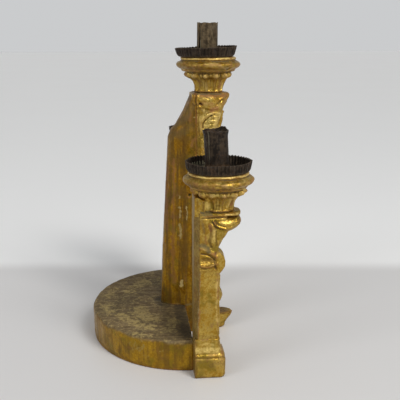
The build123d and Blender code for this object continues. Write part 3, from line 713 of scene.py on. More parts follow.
# ---------------------------------------------------------------- turned and carved cup
def make_cup(light, name, seed):
    """The turned cup: gadrooned neck, ring of leaf knobs, broad torus, fillet under the pan."""
    x, y, base = light["x"], light["y"], light["cup"]
    height = light["pan"] - base
    # Height, radius, gadroon depth, leaf knob depth.
    outline = np.array(
        [
            (0, 13.6, 0.6, 0), (0.8, 14.6, 0.8, 0), (1.8, 14.9, 0.9, 0), (3.2, 14.2, 1.2, 0),
            (7, 14.5, 1.6, 0),
            (10, 15.4, 1.8, 0), (12.5, 16.8, 1.8, 0.2), (14.6, 18.4, 1.4, 0.8), (15.8, 20.6, 0.8, 2),
            (17, 22.9, 0.3, 3.2),
            (18.8, 24.2, 0, 3.6), (20.4, 24.1, 0, 2.8), (21.4, 23.8, 0, 1), (21.9, 24, 0, 0.2),
            (22.4, 26.2, 0, 0),
            (23.2, 28.3, 0, 0), (24.3, 29.2, 0, 0), (25, 28.9, 0, 0), (25.5, 29.6, 0, 0), (26.4, 31.9, 0, 0),
            (27.8, 33.9, 0, 0), (29.6, 34.8, 0, 0), (31.4, 34.3, 0, 0), (32.9, 32.4, 0, 0),
            (33.8, 30.3, 0, 0),
            (34.2, 29, 0, 0), (34.6, 28.8, 0, 0), (35, 29.5, 0, 0), (35.8, 30.2, 0, 0), (36.8, 30, 0, 0),
            (37.4, 29.2, 0, 0), (height, 28.4, 0, 0),
        ]
    )
    levels = np.concatenate([[0.0], np.arange(0.3, height, 0.36), [height]])
    radius = np.interp(levels, outline[:, 0], outline[:, 1])
    kernel = np.array([1, 2, 3, 2, 1]) / 9
    radius[2:-2] = np.convolve(radius, kernel, "valid")
    flute = np.interp(levels, outline[:, 0], outline[:, 2])
    knob = np.interp(levels, outline[:, 0], outline[:, 3])
    sides = 340
    angle = np.linspace(0, 2 * math.pi, sides, endpoint=False)
    lobes = 13
    swell, shift = {"left": (-0.6, 0.7), "centre": (0.0, -1.2), "right": (-0.3, -0.4)}[name.split("_")[0]]
    phase = seed * 0.7 + 0.45 * np.sin(angle + seed) + 0.25 * np.sin(3 * angle + 2 * seed)
    wave = np.cos(lobes * angle + phase)
    ridge = 1 - np.abs(np.sin((lobes * angle + phase) / 2)) * 2
    fine = np.cos(3 * lobes * angle + 2 * phase + 1.5 * np.sin(2 * angle)) * 0.10
    size = 1 + 0.35 * np.sin(2 * angle + seed * 1.7) + 0.2 * np.sin(5 * angle + seed)
    rings = []
    for z, r, a, k in zip(levels, radius, flute, knob):
        lump = k * (np.clip(wave, -0.45, 1) - 0.25) * np.clip(size, 0.4, 1.5)
        rr = r + a * (ridge * 0.8 + fine) + lump + swell * smoothstep(22, 26, z)
        sag = -0.5 * k * np.clip(wave, 0, 1) * (1 if z < 19 else 0.3)
        ring = np.stack([x + rr * np.cos(angle), y + shift + rr * np.sin(angle), base + z + 0.3 * sag], 1)
        rings.append(ring)
    obj = skin(name, rings, (x, y, base), (x, y, base + height))
    co, no = points(obj), normals(obj)
    rise = co[:, 2] - base
    body = smoothstep(0.5, 2, rise) * (1 - smoothstep(height - 0.6, height - 0.05, rise))
    move = fractal(co, 13, 3, seed) * 0.75 + fractal(co, 4.0, 2, seed + 9) * 0.28
    move *= 1 - 0.6 * smoothstep(34.4, 35.2, rise)
    nick = smoothstep(0.40, 0.75, value_noise(co, 5.5, seed + 20)) * smoothstep(-0.1, 0.5,
        value_noise(co, 17, seed + 5))
    co = co + no * ((move - 0.9 * nick * (rise < 34.5)) * body)[:, None]
    # The wood has warped a little: the belly leans one way, the neck the other.
    co[:, 1] -= 1.0 * np.exp(-(((rise - 9) / 7) ** 2)) * (0.9 if name.startswith("centre") else 0.3)
    co[:, 2] = np.clip(co[:, 2], base + 0.0, base + height)
    set_points(obj, co)
    cavity(obj, 26)
    paint(obj, "dust", [([(y + 40, base - 0.3), (y - 40, base - 0.3)], 1.3, 0.9)], 0, seed=seed, ragged=0.2)
    front = -1.0
    red = [
        ([(y + front * 24, base + 24.4), (y + front * 30, base + 28), (y + front * 31, base + 31)], 2.4, 0.62)
    ]
    red.append(([(y - 8, base + 25.2), (y + 24, base + 25.2)], 1, 0.6))
    red.append(([(y - 12, base + 5), (y - 13, base + 14)], 2.2, 0.65))
    paint(obj, "bole", red, 0, seed=seed + 3, ragged=1.6)
    # Painted highlights along the fillet under the pan, over the torus, down the neck's gadroons and round
    # the ring of knobs.
    light = [
        ([(y - 30, base + 36.2), (y + 30, base + 36.2)], 1.2, 1),
        ([(y - 20, base + 32.8), (y + 6, base + 33)], 1.2, 0.55),
        ([(y - 14, base + 4), (y - 15, base + 12)], 2, 0.7),
        ([(y - 7, base + 5), (y - 8, base + 13)], 1.6, 0.6),
        ([(y + 3, base + 4), (y + 4, base + 13)], 2, 0.55),
        ([(y - 24, base + 19), (y + 20, base + 19)], 2.4, 0.6),
        ([(y - 12, base + 29), (y + 2, base + 30)], 1.2, 0.25),
    ]
    paint(obj, "light", light, 0, seed=seed + 8, ragged=1.0)
    # Painted shade in the grooves under the ring of knobs and under the pan; the back of the torus and a line
    # across its belly are darker.
    dark = [([(y + 33, base + 27.5), (y + 22, base + 29), (y + 10, base + 27)], 3.4, 0.75)]
    dark.append(([(y - 30, base + 22), (y + 30, base + 22)], 1, 0.8))
    dark.append(([(y - 40, base + 34.3), (y + 40, base + 34.3)], 0.7, 0.8))
    dark.append(([(y + 8, base + 30.6), (y - 14, base + 28.4), (y - 22, base + 30.4)], 0.8, 0.75))
    paint(obj, "dark", dark, 0, seed=seed + 6)
    return obj


# ---------------------------------------------------------------- crimped drip pan
def make_pan(light, name, seed):
    """A sheet-iron dish with a crimped, flared wall and an uneven rim."""
    x, y, base, top = light["x"], light["y"], light["pan"], light["pan_top"]
    depth = top - base
    sheet = 0.8
    folds = 54
    sides = folds * 12
    angle = np.linspace(0, 2 * math.pi, sides, endpoint=False)
    local = np.random.default_rng(seed)
    jitter = np.interp(angle, np.linspace(0, 2 * math.pi, folds + 1),
        np.append(local.normal(0, 0.45, folds), 0))
    wave = np.cos(folds * angle + jitter)
    wave = np.sign(wave) * np.abs(wave) ** 0.7
    strength = 1 + np.interp(angle, np.linspace(0, 2 * math.pi, folds + 1),
        np.append(local.normal(0, 0.28, folds), 0))
    lean = 0.5 * np.cos(angle - seed) + 0.35 * np.cos(2 * angle + seed)
    rim_height = 0.30 * np.cos(2 * angle + seed * 1.3) + 0.20 * np.cos(5 * angle
        + seed) + 0.30 * wave * strength
    dents = np.interp(angle, np.linspace(0, 2 * math.pi, 23), np.append(local.normal(0, 0.22, 22), 0))
    rim_radius, shift = {"left": (31.1, 0.7), "centre": (32.6, 1.3), "right": (31.6, 0.0)}[name.split("_")[0]]
    y = y + shift
    # The centre pan has settled towards the back; its front rim stands higher.
    tilt = {"centre": 0.038, "left": 0.006, "right": -0.01}[name.split("_")[0]]
    levels = np.linspace(0, 1, 15)

    def ring(radius, z):
        return np.stack([x + radius * np.cos(angle), y + radius * np.sin(angle), z], 1)

    def wall(t):
        round_off = math.sqrt(max(0.0, 1 - (1 - min(t / 0.16, 1)) ** 2))
        swell = 28.0 + 1.5 * round_off + (rim_radius - 29.5) * t**1.1 + 0.25 * math.sin(math.pi * t)
        crimp = 0.60 * smoothstep(0.04, 0.28, t)
        radius = swell + crimp * wave * strength * 0.9 + lean * t * 0.5 + dents * t
        z = base + 0.05 + t * (depth - 1.0) + rim_height * t * t
        z = z - tilt * (radius * np.sin(angle)) * t
        return radius, z

    outer, inner = [], []
    for t in levels:
        radius, z = wall(t)
        outer.append(ring(radius, z))
        inner.append(ring(radius - sheet, np.maximum(z, base + sheet)))
    floor_out = [ring(np.full(sides, r), np.full(sides, base + 0.02)) for r in (6, 14, 20, 24, 27.2)]
    floor_in = [ring(np.full(sides, r), np.full(sides, base + sheet + 0.02)) for r in (26.3, 24, 20, 14, 6)]
    rings = floor_out + outer + [ring(wall(1)[0] - sheet / 2, wall(1)[1] + 0.22)] + inner[::-1] + floor_in
    obj = skin(name, rings, (x, y, base + 0.02), (x, y, base + sheet + 0.02))
    co = points(obj)
    co[:, 2] += fractal(co, 16, 2, seed) * 0.25 * smoothstep(18, 26, np.hypot(co[:, 0] - x, co[:, 1] - y))
    co[:, 2] = np.maximum(co[:, 2], base + 0.01)
    set_points(obj, co)
    cavity(obj, 10)
    # Old wax has left a pale streak on the floor of the pan.
    streaks = [
        ([(x + 17, y + 21), (x + 22, y + 16), (x + 25, y + 9)], 3.4, 1.7),
        ([(x + 8, y - 16), (x + 13, y - 13)], 1.4, 0.6),
    ]
    paint(obj, "cream", streaks, 2, seed=seed)
    inside = (co[:, 2] > base + 0.5) & (co[:, 2] < base + 5.5) & (np.hypot(co[:, 0] - x, co[:, 1] - y) < 29.6)
    write_mask(obj, "cream", read_mask(obj, "cream") * inside)
    return obj


# ---------------------------------------------------------------- rolled candle socket
TORN_TAB = 318.0


def make_socket(light, name, seed, slit_angle, lean=(0.0, 0.0), flare=0.0, tab=False, sprung=1.3,
    gap_angle=3.0, short=0.0):
    """A rolled tube with an open upright seam, a battered mouth and four nailed tabs."""
    x, y, base, top = light["x"], light["y"], light["tube"], light["tube_top"]
    length = top - base
    inner_r, sheet = 10.5, 0.75
    y = y + (1.7 if tab else 0.0)
    sides = 120
    gap = math.radians(gap_angle)
    levels = np.linspace(0, 1, 60)
    thetas = np.linspace(gap / 2, 2 * math.pi - gap / 2, sides) + math.radians(slit_angle)
    u = (thetas - math.radians(slit_angle)) / (2 * math.pi)
    rings_out, rings_in = [], []
    for t in levels:
        # The foot flares, the mouth is bent, and the seam's edges spring apart unevenly.
        swell = 1.6 * math.exp(-((t / 0.09) ** 2)) + flare * smoothstep(0.80, 1.0, t) ** 2
        oval = 0.30 * t * np.cos(2 * thetas + seed)
        # One edge of the seam stands out from the other, which leaves an open gap.
        uneven = 0.6 + 0.4 * math.sin(4.5 * t + seed) ** 2
        spring = (sprung * np.exp(-(((1 - u) / 0.055) ** 2)) - 0.35 * np.exp(-((u / 0.04) ** 2))) * uneven
        ragged = (0.30 * np.sin(7 * thetas + seed) + 0.20 * np.sin(17 * thetas) - 0.45) * smoothstep(0.85,
            1.0, t)
        if tab:
            turn = (thetas - math.radians(TORN_TAB) + math.pi) % (2 * math.pi) - math.pi
            ragged = ragged + 2.6 * np.exp(-((turn / 0.34) ** 4)) * smoothstep(0.9, 1.0, t)
        r = inner_r + sheet + swell + oval + spring
        z = base + 0.3 + t * (length - 0.3 - short) + ragged
        shift_x, shift_y = lean[0] * t, lean[1] * t
        rings_out.append(np.stack([x + shift_x + r * np.cos(thetas), y + shift_y + r * np.sin(thetas),
            z * np.ones(sides)], 1))
        ri = r - sheet
        rings_in.append(np.stack([x + shift_x + ri * np.cos(thetas), y + shift_y + ri * np.sin(thetas),
            z * np.ones(sides)], 1))
    n_levels = len(levels)
    verts = np.concatenate(rings_out + rings_in)
    offset = n_levels * sides
    faces = []
    for j in range(n_levels - 1):
        for i in range(sides - 1):
            a, b = j * sides + i, (j + 1) * sides + i
            faces.append((a, a + 1, b + 1, b))
            faces.append((offset + a, offset + b, offset + b + 1, offset + a + 1))
        a, b = j * sides, (j + 1) * sides
        faces.append((a, b, offset + b, offset + a))
        a, b = j * sides + sides - 1, (j + 1) * sides + sides - 1
        faces.append((a, offset + a, offset + b, b))
    for i in range(sides - 1):
        faces.append((i, offset + i, offset + i + 1, i + 1))
        a = (n_levels - 1) * sides + i
        faces.append((a, a + 1, offset + a + 1, offset + a))
    tube = new_object(name, verts, faces)
    pieces = [tube]
    for k in range(4):
        a = math.pi / 2 * k
        direction = np.array([math.cos(a), math.sin(a), 0])
        across = np.array([-math.sin(a), math.cos(a), 0])
        strip, half = [], 2.6
        steps = np.linspace(0, 1, 9)
        for t in steps:
            out = 10.4 + 5.8 * t
            z = base + 0.15 + 1.6 * (1 - t) ** 4
            width = half * (1 - 0.25 * t**3)
            centre = np.array([x, y, 0]) + direction * out
            strip.append([centre + across * width + [0, 0, z], centre - across * width + [0, 0, z],
                centre - across * width + [0, 0, z + 0.7], centre + across * width + [0, 0, z + 0.7]])
        pieces.append(stack(strip))
    obj = join(name, pieces)
    clean(obj)
    shade_smooth(obj)
    co, no = points(obj), normals(obj)
    set_points(obj, co + no * (fractal(co, 7, 3, seed) * 0.14)[:, None])
    cavity(obj, 6)
    foot = [([(x - 14, base + 3), (x + 14, base + 3)], 3.5, 0.55)]
    paint(obj, "light", foot, 1, seed=seed)
    # A pale line along the seam: the bare cut edge, lightened further as a painted glint.
    co = points(obj)
    turn = np.degrees(np.arctan2(co[:, 1] - y, co[:, 0] - x)) - slit_angle
    seam = (turn > 0) & (turn < gap_angle / 2 + 3.5) & (co[:, 2] > base + 2)
    write_mask(obj, "cream", seam * (0.4 if tab else 1.0))
    return obj


def make_nails(light, name, seed):
    """Four hand-forged nails, their rough heads bearing on the tabs."""
    x, y, base = light["x"], light["y"], light["tube"] + 0.75
    reach = (mm_box(name.replace("_look", ""))[1] - mm_box(name.replace("_look", ""))[0])[0] / 2 - 1.9
    pieces = []
    for k in range(4):
        a = math.pi / 2 * k
        px, py = x + reach * math.cos(a), y + reach * math.sin(a)
        angles = np.linspace(0, 2 * math.pi, 14, endpoint=False)
        rough = 1 + 0.10 * np.sin(3 * angles + k + seed) + 0.07 * np.sin(5 * angles + 2 * k)
        rings = []
        for r, z in ((0.1, -8.0), (0.7, -6.5), (0.78, -0.1), (1.75, 0.0), (1.95, 0.35), (1.5, 0.85),
            (0.7, 1.15)):
            rr = r * rough if z >= 0 else r * np.ones_like(angles)
            rings.append(np.stack([px + rr * np.cos(angles), py + rr * np.sin(angles), np.full(14, base + z)],
                1))
        pieces.append(stack(rings))
    obj = join(name, pieces)
    shade_smooth(obj)
    cavity(obj, 1)
    return obj


SLITS = {"left": 127.0, "centre": 127.0, "right": 53.0}
SEEDS = {"left": 3, "centre": 1, "right": 6}
for name, light in LIGHTS.items():
    seed = SEEDS[name]
    cup = make_cup(light, f"{name}_cup_look", seed)
    finish_piece(cup, f"{name}_cup", gilt)
    pan = make_pan(light, f"{name}_drip_pan_look", seed)
    finish_piece(pan, f"{name}_drip_pan", sheet_iron)
    lean = {"left": (0.4, 2.0), "centre": (0.0, -0.3), "right": (-0.5, -0.6)}[name]
    flare = {"left": 1.0, "centre": 0.1, "right": 0.5}[name]
    sprung, gap_angle, short = {"left": (0.3, 2.5, 0.3), "centre": (1.5, 7.0, 1.1),
        "right": (0.8, 4.0, 0.8)}[name]
    socket = make_socket(light, f"{name}_candle_socket_look", seed, SLITS[name], lean, flare, name == "left",
        sprung, gap_angle, short)
    finish_piece(socket, f"{name}_candle_socket", socket_iron if name != "left" else sheet_iron)
    nails = make_nails(light, f"{name}_socket_nails_look", seed)
    finish_piece(nails, f"{name}_socket_nails", sheet_iron)


# ---------------------------------------------------------------- plinth
def make_plinth():
    """The half-round block: worn edges, planed top, flat front edge."""
    steps = 120
    rings = []

    def outline(inset, z):
        a = np.linspace(0, math.pi, steps)
        ring_x = (PLINTH_HALF - inset) * np.cos(a)
        front = 0.2 * inset - 0.6
        ring_y = FRONT_Y + front + (PLINTH_DEPTH - inset - front) * np.sin(a)
        straight = np.linspace(-1, 1, 60)[1:-1]
        front_x = (PLINTH_HALF - inset) * straight
        xs = np.concatenate([ring_x, front_x])
        ys = np.concatenate([ring_y, np.full(len(front_x), FRONT_Y + front)])
        return np.stack([xs, ys, np.full(len(xs), z)], 1)

    sections = ((1.0, 0.05), (0.3, 0.9), (0.1, PLINTH_TOP - 2.2), (0.7, PLINTH_TOP - 1.0),
        (2.2, PLINTH_TOP - 0.15))
    for inset, z in sections:
        rings.append(outline(inset, z))
    obj = stack(rings)
    remesh(obj, 1.0, 2)
    co, no = points(obj), normals(obj)
    # Planing ridges run from back to front on the top; the rim is lightly chiselled and dented.
    top = smoothstep(0.6, 0.9, no[:, 2])
    planed = fractal(co / np.array([1, 9, 1]), 5, 3, 4) * 0.24
    rim = (1 - np.abs(no[:, 2])) * (fractal(co / np.array([1, 1, 2.5]), 12, 3, 8) * 0.5 + fractal(co, 30, 2,
        9) * 0.6)
    edge = smoothstep(0.15, 0.6, no[:, 2]) * (1 - top) * np.clip(fractal(co, 9, 3, 2), -0.2, 1) * -1.4
    move = top * planed + rim + edge
    move *= smoothstep(0.0, 1.5, co[:, 2])
    co = co + no * move[:, None]
    co[:, 2] = np.maximum(co[:, 2], 0.02)
    set_points(obj, co)
    cavity(obj, 8)
    no = normals(obj)
    upper = smoothstep(0.35, 0.75, no[:, 2] + 0.25 * fractal(co, 6, 3, 5)) * (co[:, 2] > PLINTH_TOP - 5)
    upper = np.maximum(upper, smoothstep(PLINTH_TOP - 5, PLINTH_TOP - 0.8,
        co[:, 2] + 2.6 * fractal(co, 10, 3, 6)))
    write_mask(obj, "top", upper)
    # Scraps of the old gilding lie in a loose ring round the left half; seen from above as (x, y).
    y = FRONT_Y
    patches = [
        ([(-40, y + 70), (-62, y + 58), (-74, y + 42)], 7, 0.8),
        ([(-20, y + 52), (-44, y + 46), (-54, y + 36)], 9, 0.75), ([(-88, y + 60), (-98, y + 40)], 3, 0.8),
        ([(-30, y + 84), (-10, y + 90)], 6, 0.55), ([(-84, y + 22), (-60, y + 14)], 7, 0.5),
        ([(36, y + 62), (66, y + 44)], 9, 0.7), ([(80, y + 20), (50, y + 18)], 7, 0.55),
        ([(20, y + 86), (44, y + 80)], 5, 0.6),
    ]
    paint(obj, "cream", patches, 2, seed=3, ragged=2.5)
    # Painted shade on the top: along the front edge, round the post's foot and in front of the pilasters.
    shade = [
        ([(-17, y + 4), (-30, y + 6), (-100, y + 5)], 9, 0.95),
        ([(17, y + 4), (30, y + 6), (100, y + 5)], 9, 0.9),
        ([(-18, y + 20), (0, y + 29), (18, y + 20)], 5, 0.75), ([(-30, y + 18), (-100, y + 18)], 12, 0.45),
        ([(30, y + 18), (100, y + 18)], 12, 0.4),
    ]
    paint(obj, "dark", shade, 2, seed=4, ragged=1.5)
    for name in ("cream", "dark"):
        write_mask(obj, name, read_mask(obj, name) * (co[:, 2] > PLINTH_TOP - 3))
    # Flaked places on the rim, seen from the side as (y, z).
    flakes = [
        ([(y + 61, 24), (y + 58, 18), (y + 52, 20), (y + 49, 25)], 2.6, 0.72),
        ([(y + 53, 13), (y + 46, 11)], 2.2, 0.6), ([(y + 31, 22), (y + 29, 22)], 1.6, 0.8),
        ([(y + 78, 20), (y + 80, 12)], 1.4, 0.6),
    ]
    paint(obj, "cream", flakes, 0, seed=9, ragged=2.6, side_of=-1)
    flakes = [([(y + 40, 22), (y + 47, 14)], 3, 0.75), ([(y + 74, 16), (y + 70, 24)], 2.2, 0.7)]
    paint(obj, "cream", flakes, 0, seed=12, ragged=1.2, side_of=1)
    # Two upright stains on the rim, and painted shade in a band along its foot at the floor; seen from the
    # side as (y, z).
    stains_and_floor_shade = [
        ([(y + 88, 27), (y + 88, 6)], 4, 0.5), ([(y + 36, 26), (y + 35, 4)], 3, 0.45),
        ([(y + 100, 3), (y - 4, 3)], 2, 0.7),
    ]
    paint(obj, "dark", stains_and_floor_shade, 0, seed=10, ragged=1.5)
    return obj


plinth = make_plinth()
finish_piece(plinth, "plinth", plinth_finish)


# ---------------------------------------------------------------- rear post
def make_post():
    """The rounded upright: it leans forwards as it rises, then slopes off to the cup."""
    foot, crown = PLINTH_TOP, LIGHTS["centre"]["cup"]
    # Height, depth of the flat part of the sides, depth of the back.
    sections = [
        (foot, -3.0, 26.4), (foot + 1.5, -3.0, 26.0), (74.0, -3.0, 24.4), (99.0, -3.0, 23.6),
        (126.0, -3.0, 21.9), (152.0, -3.0, 20.3), (180, -3, 18.8), (210, -3, 17.2), (224, -3, 16.4),
        (232, -4.8, 13.4), (237.5, -6.5, 8), (252, -10.5, -0.4), (263, -12, -5.4), (crown - 1.5, -13, -9.2),
        (crown, -13.2, -10.6),
    ]
    table = np.array(sections)
    heights = np.unique(np.concatenate([table[:, 0], np.arange(foot, crown, 1.0)]))
    count = 96
    rings = []
    for z in heights:
        start = np.interp(z, table[:, 0], table[:, 1])
        back = np.interp(z, table[:, 0], table[:, 2])
        t = np.linspace(0, math.pi, count)
        half = 17.0
        power = 0.92
        xs = half * np.sign(np.cos(t)) * np.abs(np.cos(t)) ** power
        ys = start + (back - start) * np.abs(np.sin(t)) ** power
        front_x = np.linspace(-half, half, 24)
        front_y = np.full(24, -14.0)
        rings.append(np.stack([np.concatenate([xs, front_x]), np.concatenate([ys, front_y]) + FRONT_Y,
            np.full(count + 24, z)], 1))
    upright = stack(rings)
    leg = prism([(-17, FRONT_Y - 0.02), (17, FRONT_Y - 0.02), (17, FRONT_Y - 14), (-17, FRONT_Y - 14)], 0.05,
        foot + 2, 2)
    obj = join("rear_post_look", [upright, leg])
    remesh(obj, 0.75, 2)
    co, no = points(obj), normals(obj)
    side_face = 1 - np.abs(no[:, 2])
    free = smoothstep(0.5, 2.5, co[:, 2] - foot)
    # Long tool facets, fine flaking, and a few dents.
    facets = fractal(co / np.array([1, 1, 7]), 9, 3, 11) * 0.55
    fine = fractal(co / np.array([1, 1, 5]), 2.6, 3, 13) * 0.22
    dents = -0.5 * smoothstep(0.45, 0.8, value_noise(co / np.array([1, 1, 1.8]), 8, 15))
    set_points(obj, co + no * ((facets + fine + dents) * side_face * free)[:, None])
    here = (FRONT_Y, 0.0)
    checks = [
        ([(2, 52), (2.8, 78), (2.2, 96)], 0.55, -0.7), ([(9.5, 120), (9, 160), (8.4, 188)], 0.5, -0.5),
        ([(-6, 161.2)], 1.25, -3.4), ([(-2.5, 60), (-3.2, 100), (-3, 150), (-4.2, 186)], 0.8, -0.5),
        ([(4.5, 132), (3.6, 148)], 1.4, -0.4), ([(3.5, 112), (3.2, 125)], 1.6, -0.45),
    ]
    carve(obj, 0, -1, checks, here)
    checks = [
        ([(4, 70), (4.8, 120), (4.2, 150)], 0.55, -0.7), ([(-4, 92)], 1.4, -0.7),
        ([(8, 168), (7, 200)], 0.5, -0.6),
    ]
    carve(obj, 0, 1, checks, here)
    cavity(obj, 14)
    cream = [
        ([(4.6, 147), (3.8, 136)], 1.7, 1), ([(-2.6, 148), (-3.6, 134)], 1.2, 1),
        ([(4.4, 128), (2.8, 119), (4.2, 112)], 1.9, 0.95), ([(3, 63), (3, 57)], 2.6, 1.1),
        ([(6, 161), (5.8, 158)], 1.3, 0.9), ([(-11, 246.5)], 1.4, 0.7), ([(5, 97), (5.2, 88)], 0.8, 0.4),
    ]
    paint(obj, "cream", cream, 0, here, seed=2, ragged=0.9, side_of=-1)
    cream = [
        ([(2, 118), (3, 104)], 1.8, 0.85), ([(8.5, 70), (7.5, 62)], 2.2, 0.8),
        ([(-5, 176), (-4, 168)], 1.4, 0.8),
    ]
    paint(obj, "cream", cream, 0, here, seed=5, ragged=0.9, side_of=1)
    # Darker streaks in the gilding, and painted shade: in the hole, where the post meets the centre pilaster
    # and the plinth, and over the leg in front of the plinth; darker just above the foot.
    dark = [
        ([(-6, 161.2)], 1.9, 1), ([(4.2, 110), (4.4, 92), (4, 72)], 2.6, 0.6),
        ([(18, 216), (12, 200), (16, 188)], 3, 0.5), ([(-14, 240), (-4, 236), (8, 236), (16, 228)], 5, 0.55),
        ([(-14, 228), (-4, 222), (6, 226)], 6, 0.45), ([(-13, 190), (-12, 225)], 3, 0.7),
        ([(-8, 31), (-8, 2)], 9, 0.8), ([(27, 34), (-10, 34)], 1.2, 0.9), ([(27, 44), (-10, 42)], 6, 0.35),
    ]
    paint(obj, "dark", dark, 0, here, seed=7, ragged=1.2)
    dust = [
        ([(-12, 262), (-2, 246), (9, 236)], 3, 0.55), ([(-8, 236), (2, 230), (12, 226)], 4.5, 0.35),
        ([(26, 33.6), (-12, 33.6)], 0.8, 0.8),
    ]
    paint(obj, "dust", dust, 0, here, seed=8, ragged=1.5)
    bole = [
        ([(12, 60), (13, 100), (11, 150), (10, 200)], 2, 0.5), ([(-9, 216), (-10, 224)], 2.6, 0.5),
        ([(19, 120), (18, 190)], 1.6, 0.55),
    ]
    paint(obj, "bole", bole, 0, here, seed=6, ragged=1.6)
    return obj


post = make_post()
finish_piece(post, "rear_post", gilt_post)


# ---------------------------------------------------------------- centre pilaster with its leaf lip
def along_front(rows):
    """Turns (depth from the plinth's front edge, height) pairs into frame (y, z) pairs."""
    return [(d + FRONT_Y, z) for d, z in rows]


def rounded_plan(half, back, front, corner, count):
    """An (x, y) outline with two rounded front corners."""
    out = [(-half, back), (half, back)]
    for k in range(count + 1):
        a = math.pi / 2 * k / count
        out.append((half - corner + corner * math.cos(a), front + corner - corner * math.sin(a)))
    for k in range(count + 1):
        a = math.pi / 2 * k / count
        out.append((-half + corner - corner * math.sin(a), front + corner - corner * math.cos(a)))
    return out


